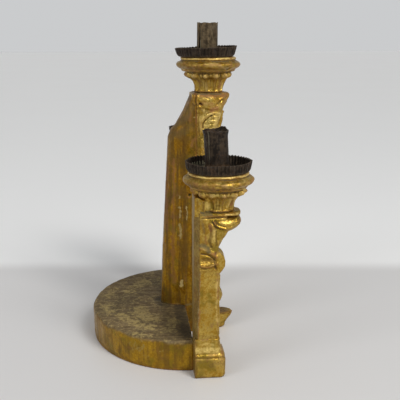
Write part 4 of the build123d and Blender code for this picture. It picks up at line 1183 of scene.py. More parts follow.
def make_centre_pilaster():
    back, low, top = FRONT_Y - 14.0, 28.0, LIGHTS["centre"]["cup"]
    # Height, reach in front of the plinth, half width.
    profile = np.array(
        [
            (28, 36, 15), (30, 36.6, 15.6), (32, 39.5, 16.6), (36, 42.6, 16.8), (40.5, 43.6, 17),
            (45, 42.8, 16.8),
            (49, 39.8, 16.4), (51, 37.2, 15.4), (54, 36.4, 14.8), (70, 36, 14.6), (100, 36, 14.6),
            (130, 36.2, 14.8),
            (152, 36.4, 15), (158, 37.4, 15.6), (162, 40.4, 16.8), (168, 43, 17.2), (173, 43, 17.2),
            (179, 40.4, 16.8),
            (184, 36.6, 15.6), (190, 35.2, 15.2), (205, 34.8, 15.2), (220, 35.8, 15.6), (232, 37.2, 16.2),
            (242, 39.4, 17),
            (252, 42.2, 17.6), (262, 45.2, 17.8), (top, 46, 17.8),
        ]
    )
    rings = []
    for z in np.arange(low, top + 0.01, 1.0):
        front = np.interp(z, profile[:, 0], profile[:, 1])
        half = np.interp(z, profile[:, 0], profile[:, 2])
        corner = 7.5
        plan = rounded_plan(half, back, FRONT_Y - front, corner, 8)
        rings.append([(px, py, z) for px, py in plan])
    shaft = stack(rings)
    pieces = [shaft]
    # The leaf lip: a folded collar that runs out to a pointed tongue under the cup.
    lip = [
        (-9, 259.5, 271.6, 17.4), (-13, 258.6, top, 18.6), (-17.5, 257.4, top, 19.2), (-24, 254.2, top, 19.4),
        (-30, 252.4, top, 19), (-35, 252.6, top, 17.6), (-40, 254.2, top, 15), (-44.5, 257.6, top, 12.2),
        (-48, 262.6, 271.9, 9), (-50.4, 266.4, 271.2, 5.6), (-51.2, 268.2, 270.4, 2.6),
    ]
    pieces.append(along_depth(lip, 0.0, 4.5))
    # Borders of the sunk panel.
    for s in (-1, 1):
        path = [(s * 10.4, FRONT_Y - 36, 58), (s * 10.4, FRONT_Y - 36, 105), (s * 10.6, FRONT_Y - 36.3, 152)]
        pieces.append(tube_along(curve_points(path, 30), 1.5))
        # Volutes on the flanks of the two knots.
        for z, scale in ((40.5, 0.82), (171.0, 1.0)):
            pieces.append(ellipsoid((s * 13.5, FRONT_Y - 36.0, z), (4.2, 6.6 * scale, 9.4 * scale)))
    # A chain of husks down the sunk panel.
    for k in range(7):
        z = 142 - 12.6 * k
        size = 1 - 0.05 * k
        pieces.append(ellipsoid((0, FRONT_Y - 36.0, z), (3.4 * size, 2.6, 6.4 * size)))
        for s in (-1, 1):
            pieces.append(ellipsoid((s * 3.2 * size, FRONT_Y - 35.7, z + 1.6), (2.0 * size, 2.0, 4.4 * size)))
    for z, r in ((30.8, 1.3), (50.6, 1.3), (158.4, 1.4), (184.0, 1.4)):
        front = np.interp(z, profile[:, 0], profile[:, 1])
        half = np.interp(z, profile[:, 0], profile[:, 2])
        ring = rounded_plan(half, back + 1.2, FRONT_Y - front, 7.5, 8)[1:]
        path = [(px, py, z) for px, py in ring] + [(-half, back + 1.2, z)]
        pieces.append(tube_along(np.array(path), r, 12, 1.0, (0, 0, 1)))
    # Leaf on the upper front: overlapping blades that rise to the lip.
    for k, (z0, z1, spread) in enumerate(((190, 226, 9), (204, 240, 7), (218, 252, 8))):
        for s in (-1, 0, 1):
            bend = s * spread
            path = [(bend * 0.3, FRONT_Y - np.interp(z0, profile[:, 0], profile[:, 1]) + 0.6, z0)]
            zm = (z0 + z1) / 2
            path.append((bend * 0.9, FRONT_Y - np.interp(zm, profile[:, 0], profile[:, 1]) + 0.2, zm))
            path.append((bend, FRONT_Y - np.interp(z1, profile[:, 0], profile[:, 1]) - 1.0, z1))
            pieces.append(tube_along(curve_points(path, 24),
                np.interp(np.linspace(0, 1, 24), [0, 0.5, 1], [1.4, 2.8, 1.6]), 14, 1.5))
    obj = join("centre_pilaster_look", pieces)
    remesh(obj, 0.58, 2)
    co, no = points(obj), normals(obj)
    free = smoothstep(0.4, 2.0, co[:, 2] - low) * smoothstep(0.5, 2.5, back - co[:, 1])
    move = fractal(co, 9, 3, 21) * 0.5 + fractal(co, 3.2, 2, 22) * 0.18
    set_points(obj, co + no * (move * free)[:, None])
    here = (FRONT_Y, 0.0)
    flank = [
        # Lip: the crease that runs up to the tip, and the folds at its back.
        ([(-47.6, 269.4), (-41, 266.4), (-35, 263.2), (-33.4, 260.6)], 0.95, 1),
        ([(-46.5, 267.2), (-40, 263.8), (-36.4, 260.4)], 1.1, -0.9),
        ([(-8.2, 270.5), (-7.4, 263), (-9.6, 255)], 0.9, 1),
        ([(-11.6, 270.8), (-10.8, 264), (-12.8, 258)], 0.9, 1.1),
        ([(-15, 270.8), (-14, 264), (-15.2, 260)], 0.8, 0.9),
        ([(-9.8, 270.5), (-9.2, 263), (-11, 256)], 0.7, -1),
        ([(-13.2, 270.5), (-12.4, 264), (-13.8, 258.6)], 0.7, -1), ([(-17.3, 260.8), (-18.8, 260)], 1.25, -3),
        ([(-17.5, 266), (-22, 268), (-27, 266.5)], 0.8, -0.6),
        ([(-24, 257), (-30, 255.2), (-37, 256.2)], 0.9, 0.7),
        # The C-scroll below it and the ridged throat of the leaf.
        ([(-31, 250.6), (-24.5, 247.6), (-19, 242), (-18.2, 235), (-20.6, 229.6), (-25, 227.8)], 1.4, 1),
        ([(-30, 248), (-25, 244.6), (-21.2, 240), (-20.8, 235)], 0.9, -1),
        ([(-16.2, 250), (-15.6, 236), (-17.2, 226)], 1.2, -0.9),
        ([(-26.5, 249.6), (-33, 250.9), (-38.8, 249.8)], 0.9, 0.55),
        ([(-25, 245), (-31.5, 246.9), (-38, 246)], 0.9, 0.6),
        ([(-24, 240.6), (-30.5, 242.4), (-37, 241.6)], 0.9, 0.6),
        ([(-23.6, 236.2), (-29.6, 238), (-36, 237.2)], 0.9, 0.6),
        ([(-24, 232), (-29, 233.6), (-35, 232.8)], 0.9, 0.5),
        ([(-29, 227), (-30, 214), (-28, 200)], 1.2, 0.9),
        ([(-19, 222), (-20.4, 208), (-19.4, 194)], 1, 0.9), ([(-24.4, 224), (-25.4, 208), (-24, 194)], 1.2,
        -0.8),
        # Volutes on the knots.
        ([(-18, 186), (-26, 184.5), (-33, 179), (-37.5, 171), (-34, 164.4), (-29, 167), (-30, 172)], 1.1,
        1.3),
        ([(-17, 160), (-25, 158.4), (-34, 159.4)], 1.1, 1.3),
        ([(-17, 166), (-24, 164), (-28, 162)], 1.2, -0.9),
        ([(-18, 52.4), (-28, 52), (-35.6, 50.6)], 1, 1.1), ([(-18, 31.4), (-28, 31.2), (-36, 31.6)], 1, 1),
        ([(-27, 46), (-34, 47), (-37.6, 41), (-33.4, 36.4), (-30, 40), (-32.4, 42.6)], 0.95, 1.1),
        # Raised borders on the shaft between the knots.
        ([(-18.2, 60), (-18, 105), (-18.2, 152)], 0.9, 0.8),
        ([(-31, 60), (-31.2, 105), (-31, 152)], 0.9, 0.8),
    ]
    for s in (-1, 1):
        carve(obj, 0, s, flank, here)
    face = []
    for s in (-1, 1):
        face += [
            ([(s * 1, 192), (s * 6.5, 206), (s * 8.6, 222), (s * 5, 236)], 1, 1),
            ([(s * 0.8, 206), (s * 3.6, 222), (s * 2.6, 240)], 0.9, -0.9),
            ([(s * 12.4, 206), (s * 12.6, 222), (s * 9, 240), (s * 4, 250)], 1, 1),
            ([(s * 6, 246), (s * 11, 252)], 0.9, -0.8),
            ([(s * 3, 178), (s * 8, 172), (s * 5, 164), (s * 1.6, 168)], 1, 1.2),
            ([(s * 3, 47), (s * 8, 41), (s * 4, 34)], 1, 1.1),
            ([(s * 14, 256), (s * 9, 262), (s * 3, 266)], 0.9, -0.9),
            ([(s * 5, 254), (s * 3.6, 262)], 0.8, 0.8),
        ]
    face += [
        ([(0, 192), (0, 215), (0, 246)], 1.1, 1.3), ([(0, 180), (0, 162)], 0.9, -1),
        ([(0, 46), (0, 34)], 0.9, -0.9),
    ]
    carve(obj, 1, -1, face, (0.0, 0.0))
    cavity(obj, 12)
    bole = [
        ([(-34, 256), (-30, 255)], 3.4, 0.85), ([(-18, 270), (-46, 270.2)], 2.4, 0.8),
        ([(-20, 262), (-30, 261)], 2.4, 0.55), ([(-48, 268), (-40, 259)], 1.6, 0.4),
        ([(-20, 236), (-18.6, 242), (-25, 248)], 0.9, 0.5), ([(-37.5, 252), (-35, 240), (-34, 226)], 1, 0.5),
    ]
    paint(obj, "bole", bole, 0, here, seed=4, ragged=0.8)
    cream = [
        ([(-21, 223), (-21.6, 214), (-20.8, 207)], 2.6, 0.62),
        ([(-22, 246.5), (-18.6, 241), (-18.4, 232)], 0.8, 0.55), ([(-24, 268.4), (-27, 264)], 1.2, 0.5),
        ([(-36, 121), (-36, 112)], 1.6, 0.6),
    ]
    paint(obj, "cream", cream, 0, here, seed=5, ragged=0.8)
    # Painted shade in the deep hole, under the leaf lip and along the back edge beside the post.
    dark = [
        ([(-17.3, 260.8), (-18.8, 260)], 2, 1),
        ([(-8, 257.4), (-17.5, 255.8), (-24, 252.4), (-30, 250.8)], 1.3, 0.9),
        ([(-16, 250), (-15.4, 236), (-16.4, 222)], 2.2, 0.6), ([(-15, 214), (-15, 190)], 3, 0.6),
    ]
    paint(obj, "dark", dark, 0, here, seed=6, ragged=0.6)
    paint(obj, "dust", [([(-12, 271.4), (-40, 271.4)], 0.9, 0.9)], 0, here, seed=7, ragged=0.3)
    # Painted highlights, with paler leaf, on the throat under the lip, the C-scroll and the lip.
    light = [
        ([(-24, 250), (-26, 240), (-27, 228), (-26, 216)], 5.5, 1.1), ([(-36, 248), (-35, 228)], 3.4, 1.1),
        ([(-22, 266), (-30, 265)], 2, 0.35), ([(-24, 260), (-34, 258), (-42, 261)], 2, 0.4),
        ([(-17, 248), (-18, 230)], 1.6, 0.5),
    ]
    paint(obj, "light", light, 0, here, seed=8, ragged=1.6)
    return obj


centre_pilaster = make_centre_pilaster()
finish_piece(centre_pilaster, "centre_pilaster", gilt)


# ---------------------------------------------------------------- centre foot
def make_centre_foot():
    top = 28.0
    block = stack(
        [
            [(px, py, z) for px, py in rounded_plan(half, FRONT_Y - 14.0, FRONT_Y - front, 5.0, 8)]
            for z, half, front in ((0.05, 16.6, 37.6), (0.8, 17, 38), (22, 17, 38), (24, 16.4, 37.4),
            (26, 15.4, 36.4), (top, 15.2, 36.2))
        ]
    )
    toe = []
    for z in np.linspace(0.05, 19.0, 24):
        t = z / 19.0
        half = 8.6 + 1.6 * t
        reach = 47.6 + 8.6 * smoothstep(0, 0.92, t) * (0.25 + 0.75 * t) - 0.7 * smoothstep(0.9, 1.0, t)
        a = np.linspace(0, math.pi, 33)
        plan = [(half * math.cos(v), FRONT_Y - 38.0 - (reach - 38.0) * math.sin(v) ** 0.9, z) for v in a]
        plan += [(-half, FRONT_Y - 30, z), (half, FRONT_Y - 30, z)]
        toe.append(plan)
    pieces = [block, stack(toe)]
    # Ribs fan out over the toe like a shell.
    for k in range(-2, 3):
        a = k * 0.34
        path = []
        for t in np.linspace(0, 1, 12):
            reach = 47.8 + 8.2 * smoothstep(0, 0.92, t) * (0.25 + 0.75 * t)
            half = 8.6 + 1.6 * t
            v = math.pi / 2 - a
            path.append((half * math.cos(v), FRONT_Y - 38.0 - (reach - 38.0) * math.sin(v) ** 0.9,
                1.2 + 16.2 * t))
        pieces.append(tube_along(np.array(path), np.linspace(0.8, 1.3, 12), 10))
    obj = join("centre_foot_look", pieces)
    remesh(obj, 0.6, 3)
    co, no = points(obj), normals(obj)
    free = smoothstep(0.5, 2.0, co[:, 2]) * (1 - smoothstep(top - 1.5, top - 0.3, co[:, 2]))
    co = co + no * ((fractal(co, 8, 3, 31) * 0.3) * free)[:, None]
    co[:, 2] = np.maximum(co[:, 2], 0.02)
    set_points(obj, co)
    cavity(obj, 12)
    here = (FRONT_Y, 0.0)
    # Painted shade in a band round the top of the toe and along the floor.
    paint(obj, "dark", [([(-38, 18.2), (-47, 18.4), (-56, 17.4)], 1.3, 0.9),
        ([(-36, 0.6), (-52, 0.6)], 1.4, 0.8)], 0, here, seed=3, ragged=0.4)
    paint(obj, "bole", [([(-50, 3), (-55.8, 14)], 1, 0.6)], 0, here, seed=4, ragged=0.5)
    return obj


centre_foot = make_centre_foot()
finish_piece(centre_foot, "centre_foot", gilt)


# ---------------------------------------------------------------- side pilasters
def make_side_pilaster():
    """The left pilaster; the right one is its mirror image."""
    x = LIGHTS["left"]["x"]
    low, top = 41.0, LIGHTS["left"]["cup"]
    # Height, reach in front of the plinth, half width.
    profile = np.array(
        [
            (41, 25.2, 12.6), (44, 24.6, 12.4), (54, 24, 12.2), (80, 23.9, 12.2), (106, 24, 12.4),
            (109, 24.8, 12.6),
            (112, 27.6, 13), (116, 29.6, 13.4), (121, 30.2, 13.5), (126, 29, 13.3), (130, 25.6, 12.8),
            (132, 23.8, 12.4),
            (136, 23.9, 12.2), (142, 25.6, 12.4), (148, 28.2, 12.8), (152, 30.6, 13.4), (156, 31.5, 14),
            (top, 31.5, 14),
        ]
    )
    rings = []
    for z in np.arange(low, top + 0.01, 0.8):
        front = np.interp(z, profile[:, 0], profile[:, 1])
        half = np.interp(z, profile[:, 0], profile[:, 2])
        c = 2.4
        # The outer back corner is planed off, a little more towards the top.
        bevel = -np.interp(z, [44, 78, 110], [2.7, 4.0, 5.2])
        plan = [(half - 0.6, 0.0), (half, -0.6)]
        for k in range(6):
            a = math.pi / 2 * k / 5
            plan.append((half - c + c * math.cos(a), -front + c - c * math.sin(a)))
        for k in range(6):
            a = math.pi / 2 * k / 5
            plan.append((-half + c - c * math.sin(a), -front + c - c * math.cos(a)))
        plan += [(-half, bevel), (-half + 8.0, 0.0)]
        rings.append([(x + px, FRONT_Y + py, z) for px, py in plan])
    pieces = [stack(rings)]
    # The slab that rises behind the cup's neck and meets it.
    slab = along_front([(0, top - 4), (-10.2, top - 4), (-10.4, top + 0.6), (-10.8, top + 4), (-9.8, top + 9),
        (-7.6, top + 12.6), (-4.2, top + 14.8), (-0.2, top + 15.2), (0, top + 14)])
    pieces.append(prism(slab, x - 12.3, x + 12.3))
    web = [
        (-5, top - 1, top + 14.4, 12.2), (-9, top - 1, top + 14.2, 12), (-13, top - 1, top + 13.2, 11.4),
        (-17, top - 1, top + 11, 10.4), (-20, top - 1, top + 7, 8),
    ]
    pieces.append(along_depth(web, x, 5.0))
    # The knot: a round boss in front, held by two straps.
    pieces.append(ellipsoid((x, FRONT_Y - 23.6, 121.8), (12.6, 6.6, 9.8)))
    for s in (-1, 1):
        pieces.append(ellipsoid((x + s * 8.6, FRONT_Y - 23.0, 121.6), (5.0, 5.6, 8.6)))
    # The leaf lip: a thin upper leaf over a rolled bulb.
    leaf = [
        (-6, 165.4, top, 12.4), (-10, 165, top, 13.2), (-14, 165.2, top, 15), (-24, 165.8, top, 15.5),
        (-32, 166.2, top, 15.4), (-38, 165.8, top + 0.2, 13.4), (-42, 165.2, top + 0.4, 10.4),
        (-44.6, 165.9, top, 7), (-45.4, 167.2, 169.2, 3.8),
    ]
    pieces.append(along_depth(leaf, x, 4.0))
    bulb = [
        (-13, 160, 163, 12), (-16, 157, 164.2, 13.2), (-19, 153.6, 165, 14.4), (-23, 150.8, 165.4, 15.3),
        (-28, 149.2, 165.4, 15.8), (-33, 149, 165.4, 15.4), (-37.5, 150.4, 165.4, 13.6),
        (-41.5, 152.6, 165.2, 11), (-44.4, 155.4, 164.4, 8), (-46, 158, 162.4, 4.6),
    ]
    pieces.append(along_depth(bulb, x, 2.3))
    # Front of the shaft: raised borders and a drop of husks.
    for s in (-1, 1):
        path = [
            (x + s * 9.6, FRONT_Y - 23.9, 45), (x + s * 9.6, FRONT_Y - 23.7, 75),
            (x + s * 9.6, FRONT_Y - 23.9, 107),
        ]
        pieces.append(tube_along(curve_points(path, 26), 1.3, 12))
    for k in range(4):
        z = 98 - 13.0 * k
        size = 1 - 0.07 * k
        pieces.append(ellipsoid((x, FRONT_Y - 23.4, z), (3.2 * size, 2.6, 6.2 * size)))
        for s in (-1, 1):
            pieces.append(ellipsoid((x + s * 3.0 * size, FRONT_Y - 23.2, z + 1.6),
                (1.9 * size, 2.0, 4.2 * size)))
    # Blades of the leaf on the flare, under the bulb.
    for s in (-1, 0, 1):
        path = [
            (x + s * 3, FRONT_Y - 23.6, 134), (x + s * 7, FRONT_Y - 25.6, 142),
            (x + s * 8.5, FRONT_Y - 30, 151.5),
        ]
        pieces.append(tube_along(curve_points(path, 20), np.linspace(1.4, 3.0, 20), 12, 1.4))
    obj = join("left_pilaster_look", pieces)
    remesh(obj, 0.5, 2)
    co, no = points(obj), normals(obj)
    free = smoothstep(0.4, 2.0, co[:, 2] - low) * smoothstep(0.2, 1.2, FRONT_Y - co[:, 1])
    move = fractal(co, 11, 3, 41) * 0.5 + fractal(co, 3.4, 2, 42) * 0.16
    set_points(obj, co + no * (move * free)[:, None])
    here = (FRONT_Y, 0.0)
    ring = [(-42.9 + 2.1 * math.cos(a), 159.2 + 2.3 * math.sin(a)) for a in np.linspace(0.4, 5.6, 9)]
    flank = [
        # Shaft: the borders along its two edges.
        ([(-3.6, 43), (-4.7, 76), (-5.8, 110)], 0.8, 0.7), ([(-22.4, 43), (-21.8, 76), (-22.2, 110)], 0.8,
        0.6),
        ([(-6.4, 50), (-7.6, 100)], 1.2, -0.35), ([(-14, 52), (-13.6, 100)], 4, -0.5),
        # Knot: bottom strap, hollow, slanting fold and the strap above it.
        ([(-6.4, 117.4), (-13, 116.8), (-21.6, 119.4)], 1.1, 2),
        ([(-6.4, 114.4), (-14, 113.8), (-20, 115)], 1.3, -0.8),
        ([(-8, 123.2), (-15, 122.6)], 3.2, -1.5), ([(-6.2, 129.6), (-12, 128.4), (-16.6, 125.8),
        (-20, 122.6)], 0.9, -1.2),
        ([(-6.6, 134.4), (-12.6, 131.6), (-17.6, 128.6), (-20.6, 126)], 1.9, 1.9),
        ([(-20.4, 130), (-18.8, 122), (-20.6, 114)], 0.9, -1.1),
        # The flare: its raised front part ends in an S line.
        ([(-13.4, 157), (-15.6, 150.2), (-13.8, 141), (-16, 135.6)], 1.1, -0.9),
        ([(-17.4, 157), (-18.8, 150.2), (-17.4, 142), (-19, 137)], 2.3, 1.2),
        ([(-9.4, 158), (-10.2, 146), (-8.6, 138)], 2.4, -0.7),
        ([(-20.6, 152), (-20.8, 144), (-21.6, 137)], 0.8, -0.7),
        # Bulb: veins of the rolled leaf and the eye of its spiral.
        ([(-16.6, 161.2), (-20, 156.4), (-26.6, 153.2)], 0.8, -1),
        ([(-19.4, 162.4), (-23, 158.2), (-30, 155.8)], 0.7, -0.8),
        ([(-18, 161.8), (-21.6, 157.4), (-28.4, 154.6), (-36, 155.6)], 0.8, 0.8), (ring, 0.7, 1.1),
        ([(-42.9, 159.2)], 0.8, 1),
        ([(-7, 164.6), (-20, 164.9), (-36, 165)], 0.8, -0.9),
        ([(-22, 167.9), (-33, 168.4), (-41, 168)], 0.8, 0.5),
        # The slab behind the neck.
        ([(-2.6, 171.5), (-2.6, 183)], 0.9, -0.6), ([(-8.8, 171.5), (-8, 181)], 0.8, 0.6),
    ]
    for s in (-1, 1):
        carve(obj, 0, s, flank, here)
    face = [
        ([(x, 134), (x, 149)], 1, 1), ([(x, 130), (x, 113)], 0.9, -1.2), ([(x, 152), (x, 163)], 0.9, -0.9),
    ]
    for s in (-1, 1):
        face += [
            ([(x + s * 3.4, 129), (x + s * 6.6, 122), (x + s * 3.6, 114)], 0.9, -0.9),
            ([(x + s * 4.6, 153), (x + s * 6.4, 162)], 0.8, -0.7),
        ]
    carve(obj, 1, -1, face)
    co = points(obj)
    co[:, 1] = np.minimum(co[:, 1], FRONT_Y - 0.02)
    set_points(obj, co)
    cavity(obj, 14)
    dust = [
        ([(-6.6, 170.6), (-24, 170.8), (-33, 170.6)], 1, 1), ([(-7, 168.6), (-16, 168.9)], 1.5, 0.75),
        ([(-7, 137.4), (-10.6, 136), (-13.4, 132.6)], 2.6, 0.85), ([(-6.6, 163), (-9, 150)], 1.4, 0.5),
    ]
    paint(obj, "dust", dust, 0, here, seed=1, ragged=0.6)
    bole = [
        ([(-16.4, 129.4), (-19.6, 129)], 2, 0.7), ([(-8, 166.6), (-24, 166.4), (-41, 165)], 1.2, 0.6),
        ([(-15, 158.6), (-15.8, 152)], 1.6, 0.7), ([(-11, 146), (-11.4, 140)], 1.6, 0.45),
        ([(-44, 166), (-44.6, 160)], 1.2, 0.55), ([(-4.2, 60), (-4.6, 72)], 1.2, 0.6),
        ([(-22.6, 84), (-22.4, 104)], 0.9, 0.6),
    ]
    paint(obj, "bole", bole, 0, here, seed=2, ragged=0.7)
    cream = [
        ([(-3, 48), (-4.3, 80), (-5.3, 112)], 0.62, 0.75), ([(-22.9, 44), (-22.7, 80), (-23, 104)], 0.5, 0.5),
        ([(-5, 172), (-5, 186)], 0.7, 0.6), ([(-13, 131.4), (-15.4, 130.2)], 1, 0.6),
        ([(-41.6, 157.4), (-43.4, 159)], 0.7, 0.7), ([(-5, 140), (-5.2, 163)], 0.6, 0.5),
    ]
    paint(obj, "cream", cream, 0, here, seed=3, ragged=0.5)
    # Painted shade in the knot's hollow and folds, in the grooves of the flare and the leaf, under the knot,
    # above the foot and in the slab's crease.
    dark = [
        ([(-8, 123.4), (-15, 122.8)], 2.6, 0.8),
        ([(-6.2, 129.4), (-12, 128.2), (-16.6, 125.6), (-20.4, 121)], 0.9, 0.95),
        ([(-13.4, 157), (-15.6, 150.2), (-13.8, 141)], 0.9, 0.45),
        ([(-20, 129), (-18.6, 122), (-20.4, 114)], 0.9, 0.85), ([(-12, 164.9), (-42, 164.8)], 0.8, 0.8),
        ([(-8.4, 158), (-9.4, 140)], 2.6, 0.45), ([(-6, 112.4), (-20, 112)], 2, 0.4),
        ([(-6.4, 44), (-21, 43)], 1.6, 0.45), ([(-9.4, 171.6), (-9, 180)], 0.9, 0.8),
    ]
    paint(obj, "dark", dark, 0, here, seed=4, ragged=0.5)
    # Painted highlights on the bulb, the tip of the upper leaf, the flare's ridge, the slab, the shaft's edge
    # and the knot's lower strap.
    light = [
        ([(-26, 159.6), (-38, 160.6)], 1.6, 0.35), ([(-30, 167.4), (-42, 167)], 1.2, 0.8),
        ([(-18.8, 152), (-18.6, 142)], 2, 0.7), ([(-12, 173), (-13, 182)], 2.6, 0.6),
        ([(-21.6, 60), (-21.4, 100)], 1.2, 0.6), ([(-9, 119), (-19, 119.5)], 1, 0.6),
    ]
    paint(obj, "light", light, 0, here, seed=9, ragged=0.8)
    dull_back(obj, 0.85, 0.3, 5)
    return obj


left_pilaster = make_side_pilaster()
right_pilaster = mirrored(left_pilaster, "right_pilaster_look")
finish_piece(left_pilaster, "left_pilaster", gilt)
finish_piece(right_pilaster, "right_pilaster", gilt)


# ---------------------------------------------------------------- side feet
def make_side_foot():
    x = LIGHTS["left"]["x"]
    # Height, half width, reach in front of the plinth.
    rows = [
        (0.05, 13.6, 29.2), (1, 14.7, 30.3), (2.6, 15.3, 30.9), (4.6, 15.5, 31), (19.2, 15.5, 31),
        (20.4, 15.1, 30.6), (21, 14.2, 29.8), (21.6, 14, 29.6), (22.2, 14.5, 30.1), (23.2, 15, 30.5),
        (24.3, 14.9, 30.4), (25, 14.1, 29.4), (25.8, 13.7, 28.8), (27, 13.6, 28), (30, 13.3, 27),
        (34, 12.8, 26), (37.6, 12.5, 25.4), (38.6, 12.8, 25.6), (40, 12.9, 25.6), (41, 12.5, 25.2),
    ]
    table = np.array(rows)
    rings = []
    for z in np.unique(np.concatenate([table[:, 0], np.arange(0.05, 41.0, 0.7)])):
        half = np.interp(z, table[:, 0], table[:, 1])
        front = np.interp(z, table[:, 0], table[:, 2])
        plan = rounded_plan(half, FRONT_Y - 0.02, FRONT_Y - front, 5.2, 10)
        rings.append([(x + px, py, z) for px, py in plan])
    obj = stack(rings)
    remesh(obj, 0.5, 2)
    co, no = points(obj), normals(obj)
    free = smoothstep(0.3, 1.5, co[:, 2]) * (1 - smoothstep(39.5, 40.8, co[:, 2])) * smoothstep(0.2, 1.2,
        FRONT_Y - co[:, 1])
    move = fractal(co, 11, 3, 51) * 0.4 + fractal(co, 2.4, 2, 52) * 0.08
    co = co + no * (move * free)[:, None]
    co[:, 2] = np.maximum(co[:, 2], 0.02)
    set_points(obj, co)
    cavity(obj, 12)
    here = (FRONT_Y, 0.0)
    # Painted shade where the foot meets the plinth, down its front corner, along the floor and in the groove
    # under the bead.
    paint(obj, "dark", [([(-1.2, 0), (-1, 40)], 1.6, 0.7), ([(-30.8, 2), (-30.6, 24)], 1.5, 0.6),
        ([(0, 0.6), (-31, 0.6)], 1.5, 0.85), ([(0, 21.4), (-31, 21.4)], 0.8, 0.8)], 0, here, seed=2,
        ragged=0.6)
    # Painted shade down the front side of the cavetto.
    paint(obj, "dark", [([(-26.8, 26), (-24.8, 34), (-24.6, 40)], 1.6, 0.5)], 0, here, seed=5, ragged=0.5)
    paint(obj, "cream", [([(-2.4, 39.6), (-20, 39.8)], 0.6, 0.55), ([(-2, 22), (-1.6, 34)], 0.6, 0.55),
        ([(-26, 24), (-29.6, 22.6)], 0.7, 0.5)], 0, here, seed=3, ragged=0.4)
    paint(obj, "bole", [([(-28.6, 23), (-26, 30)], 1.2, 0.65), ([(-14, 25), (-22, 25.2)], 0.6, 0.4)], 0, here,
        seed=4, ragged=0.5)
    # Painted highlight on the cavetto, where it catches the light.
    paint(obj, "light", [([(-4, 30), (-14, 29.6), (-22, 28.6)], 3.6, 1), ([(-6, 36), (-18, 35.4)], 1.6, 0.6)],
        0, here, seed=7, ragged=0.6)
    dull_back(obj, 0.85, 0.25, 6)
    return obj


left_foot = make_side_foot()
right_foot = mirrored(left_foot, "right_foot_look")
finish_piece(left_foot, "left_foot", gilt)
finish_piece(right_foot, "right_foot", gilt)

# Dowels keep their CAD shape.
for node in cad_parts:
    if node.endswith("dowel") or node.endswith("dowels"):
        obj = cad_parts[node]
        if not obj.data.materials:
            obj.data.materials.append(wood)
        for slot_item in obj.material_slots:
            slot_item.material = wood


# ---------------------------------------------------------------- floor, light and camera
def stage_material(name, near, far, edge):
    """Plain pale paper, a little lighter beyond a soft line behind the object."""
    n = Nodes(name)
    cloud = n.noise(3, 3, 0.5)
    turned = n.add("ShaderNodeMapping")
    turned.inputs["Rotation"].default_value = (0, 0, TURN)
    n.link(n.coords, turned.inputs["Vector"])
    split = n.add("ShaderNodeSeparateXYZ")
    n.link(turned.outputs["Vector"], split.inputs[0])
    beyond = n.span(split.outputs[0], edge - 0.010, edge + 0.045)
    colour = n.mix(beyond, near, far)
    colour = n.mix(n.span(cloud, 0.3, 0.7, 0, 0.5), colour, n.mix(beyond, tuple(c * 0.96 for c in near),
        tuple(c * 0.98 for c in far)))
    n.link(colour, n.shader.inputs["Base Color"])
    n.link(n.span(cloud, 0.3, 0.7, 0.42, 0.55), n.shader.inputs["Roughness"])
    return n.material


TURN = math.radians(6.20)
PITCH = math.radians(13.52)
EYE = Vector((-0.7913, 0.06665 + FRONT_Y * MM, 0.3428))
FLOOR_REACH = 9
WALL_LINE = 0.204
forward = Vector((math.cos(TURN), -math.sin(TURN), 0))
side = Vector((-math.sin(TURN), -math.cos(TURN), 0))

floor_mesh = bpy.data.meshes.new("floor")
corners = [(i * FLOOR_REACH, j * FLOOR_REACH, 0) for i, j in ((-1, -1), (1, -1), (1, 1), (-1, 1))]
floor_mesh.from_pydata(corners, [], [(0, 1, 2, 3)])
floor = bpy.data.objects.new("floor", floor_mesh)
bpy.context.scene.collection.objects.link(floor)
floor.data.materials.append(stage_material("pale_floor", (0.735, 0.725, 0.72), (0.97, 0.97, 0.965),
    WALL_LINE))


def area_light(name, place, target, size, power, colour=(1, 1, 1)):
    data = bpy.data.lights.new(name, "AREA")
    data.shape = "SQUARE"
    data.size = size
    data.energy = power
    data.color = colour
    obj = bpy.data.objects.new(name, data)
    bpy.context.scene.collection.objects.link(obj)
    obj.location = place
    direction = Vector(target) - Vector(place)
    obj.rotation_euler = direction.to_track_quat("-Z", "Y").to_euler()
    return obj


middle = (0.0, 0.0, 0.15)
area_light("key", tuple(-0.9 * forward + 0.8 * side + Vector((0, 0, 1.1))), middle, 0.5, 6.0,
    (1.0, 0.985, 0.955))
area_light("fill", tuple(-1.0 * forward - 1.2 * side + Vector((0, 0, 1.0))), middle, 0.6, 3.0,
    (0.96, 0.98, 1.0))


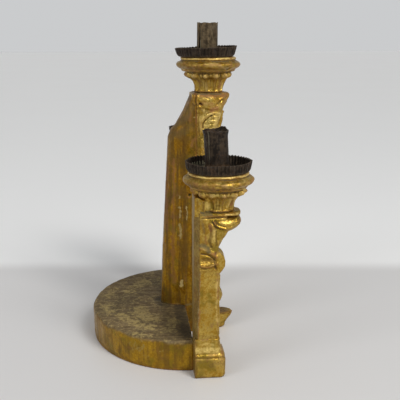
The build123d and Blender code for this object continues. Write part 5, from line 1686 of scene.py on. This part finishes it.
def soft_sun(name, place, strength, spread, colour=(1, 1, 1)):
    data = bpy.data.lights.new(name, "SUN")
    data.energy = strength
    data.angle = math.radians(spread)
    data.color = colour
    obj = bpy.data.objects.new(name, data)
    bpy.context.scene.collection.objects.link(obj)
    obj.rotation_euler = (-Vector(place)).to_track_quat("-Z", "Y").to_euler()
    return obj


soft_sun("window", -1.0 * forward + 0.75 * side + Vector((0, 0, 1.15)), 1.15, 24, (1.0, 0.985, 0.96))
soft_sun("window_left", -0.9 * forward - 1.0 * side + Vector((0, 0, 1.0)), 0.35, 30, (0.97, 0.98, 1.0))
world = bpy.data.worlds.new("room")
bpy.context.scene.world = world
world.use_nodes = True
sky = world.node_tree
coords = sky.nodes.new("ShaderNodeTexCoord")
split = sky.nodes.new("ShaderNodeSeparateXYZ")
ramp = sky.nodes.new("ShaderNodeMapRange")
ramp.interpolation_type = "SMOOTHSTEP"
ramp.inputs["From Min"].default_value = 0.10
ramp.inputs["From Max"].default_value = 0.45
ramp.inputs["To Min"].default_value = 0.61
ramp.inputs["To Max"].default_value = 0.34
sky.links.new(coords.outputs["Generated"], split.inputs[0])
sky.links.new(split.outputs[2], ramp.inputs["Value"])
sky.links.new(ramp.outputs["Result"], sky.nodes["Background"].inputs["Strength"])
sky.nodes["Background"].inputs["Color"].default_value = (0.97, 0.985, 1.0, 1)

look = Vector((math.cos(TURN) * math.cos(PITCH), -math.sin(TURN) * math.cos(PITCH), -math.sin(PITCH)))
up = side.cross(look)
camera_data = bpy.data.cameras.new("camera")
camera_data.sensor_width = 36
camera_data.lens = 65.51
camera_data.clip_start = 0.01
camera = bpy.data.objects.new("camera", camera_data)
bpy.context.scene.collection.objects.link(camera)
camera.matrix_world = Matrix(
    (
        (side.x, up.x, -look.x, EYE.x),
        (side.y, up.y, -look.y, EYE.y),
        (side.z, up.z, -look.z, EYE.z),
        (0, 0, 0, 1),
    )
)
bpy.context.scene.camera = camera
bpy.context.scene.view_settings.view_transform = "Standard"

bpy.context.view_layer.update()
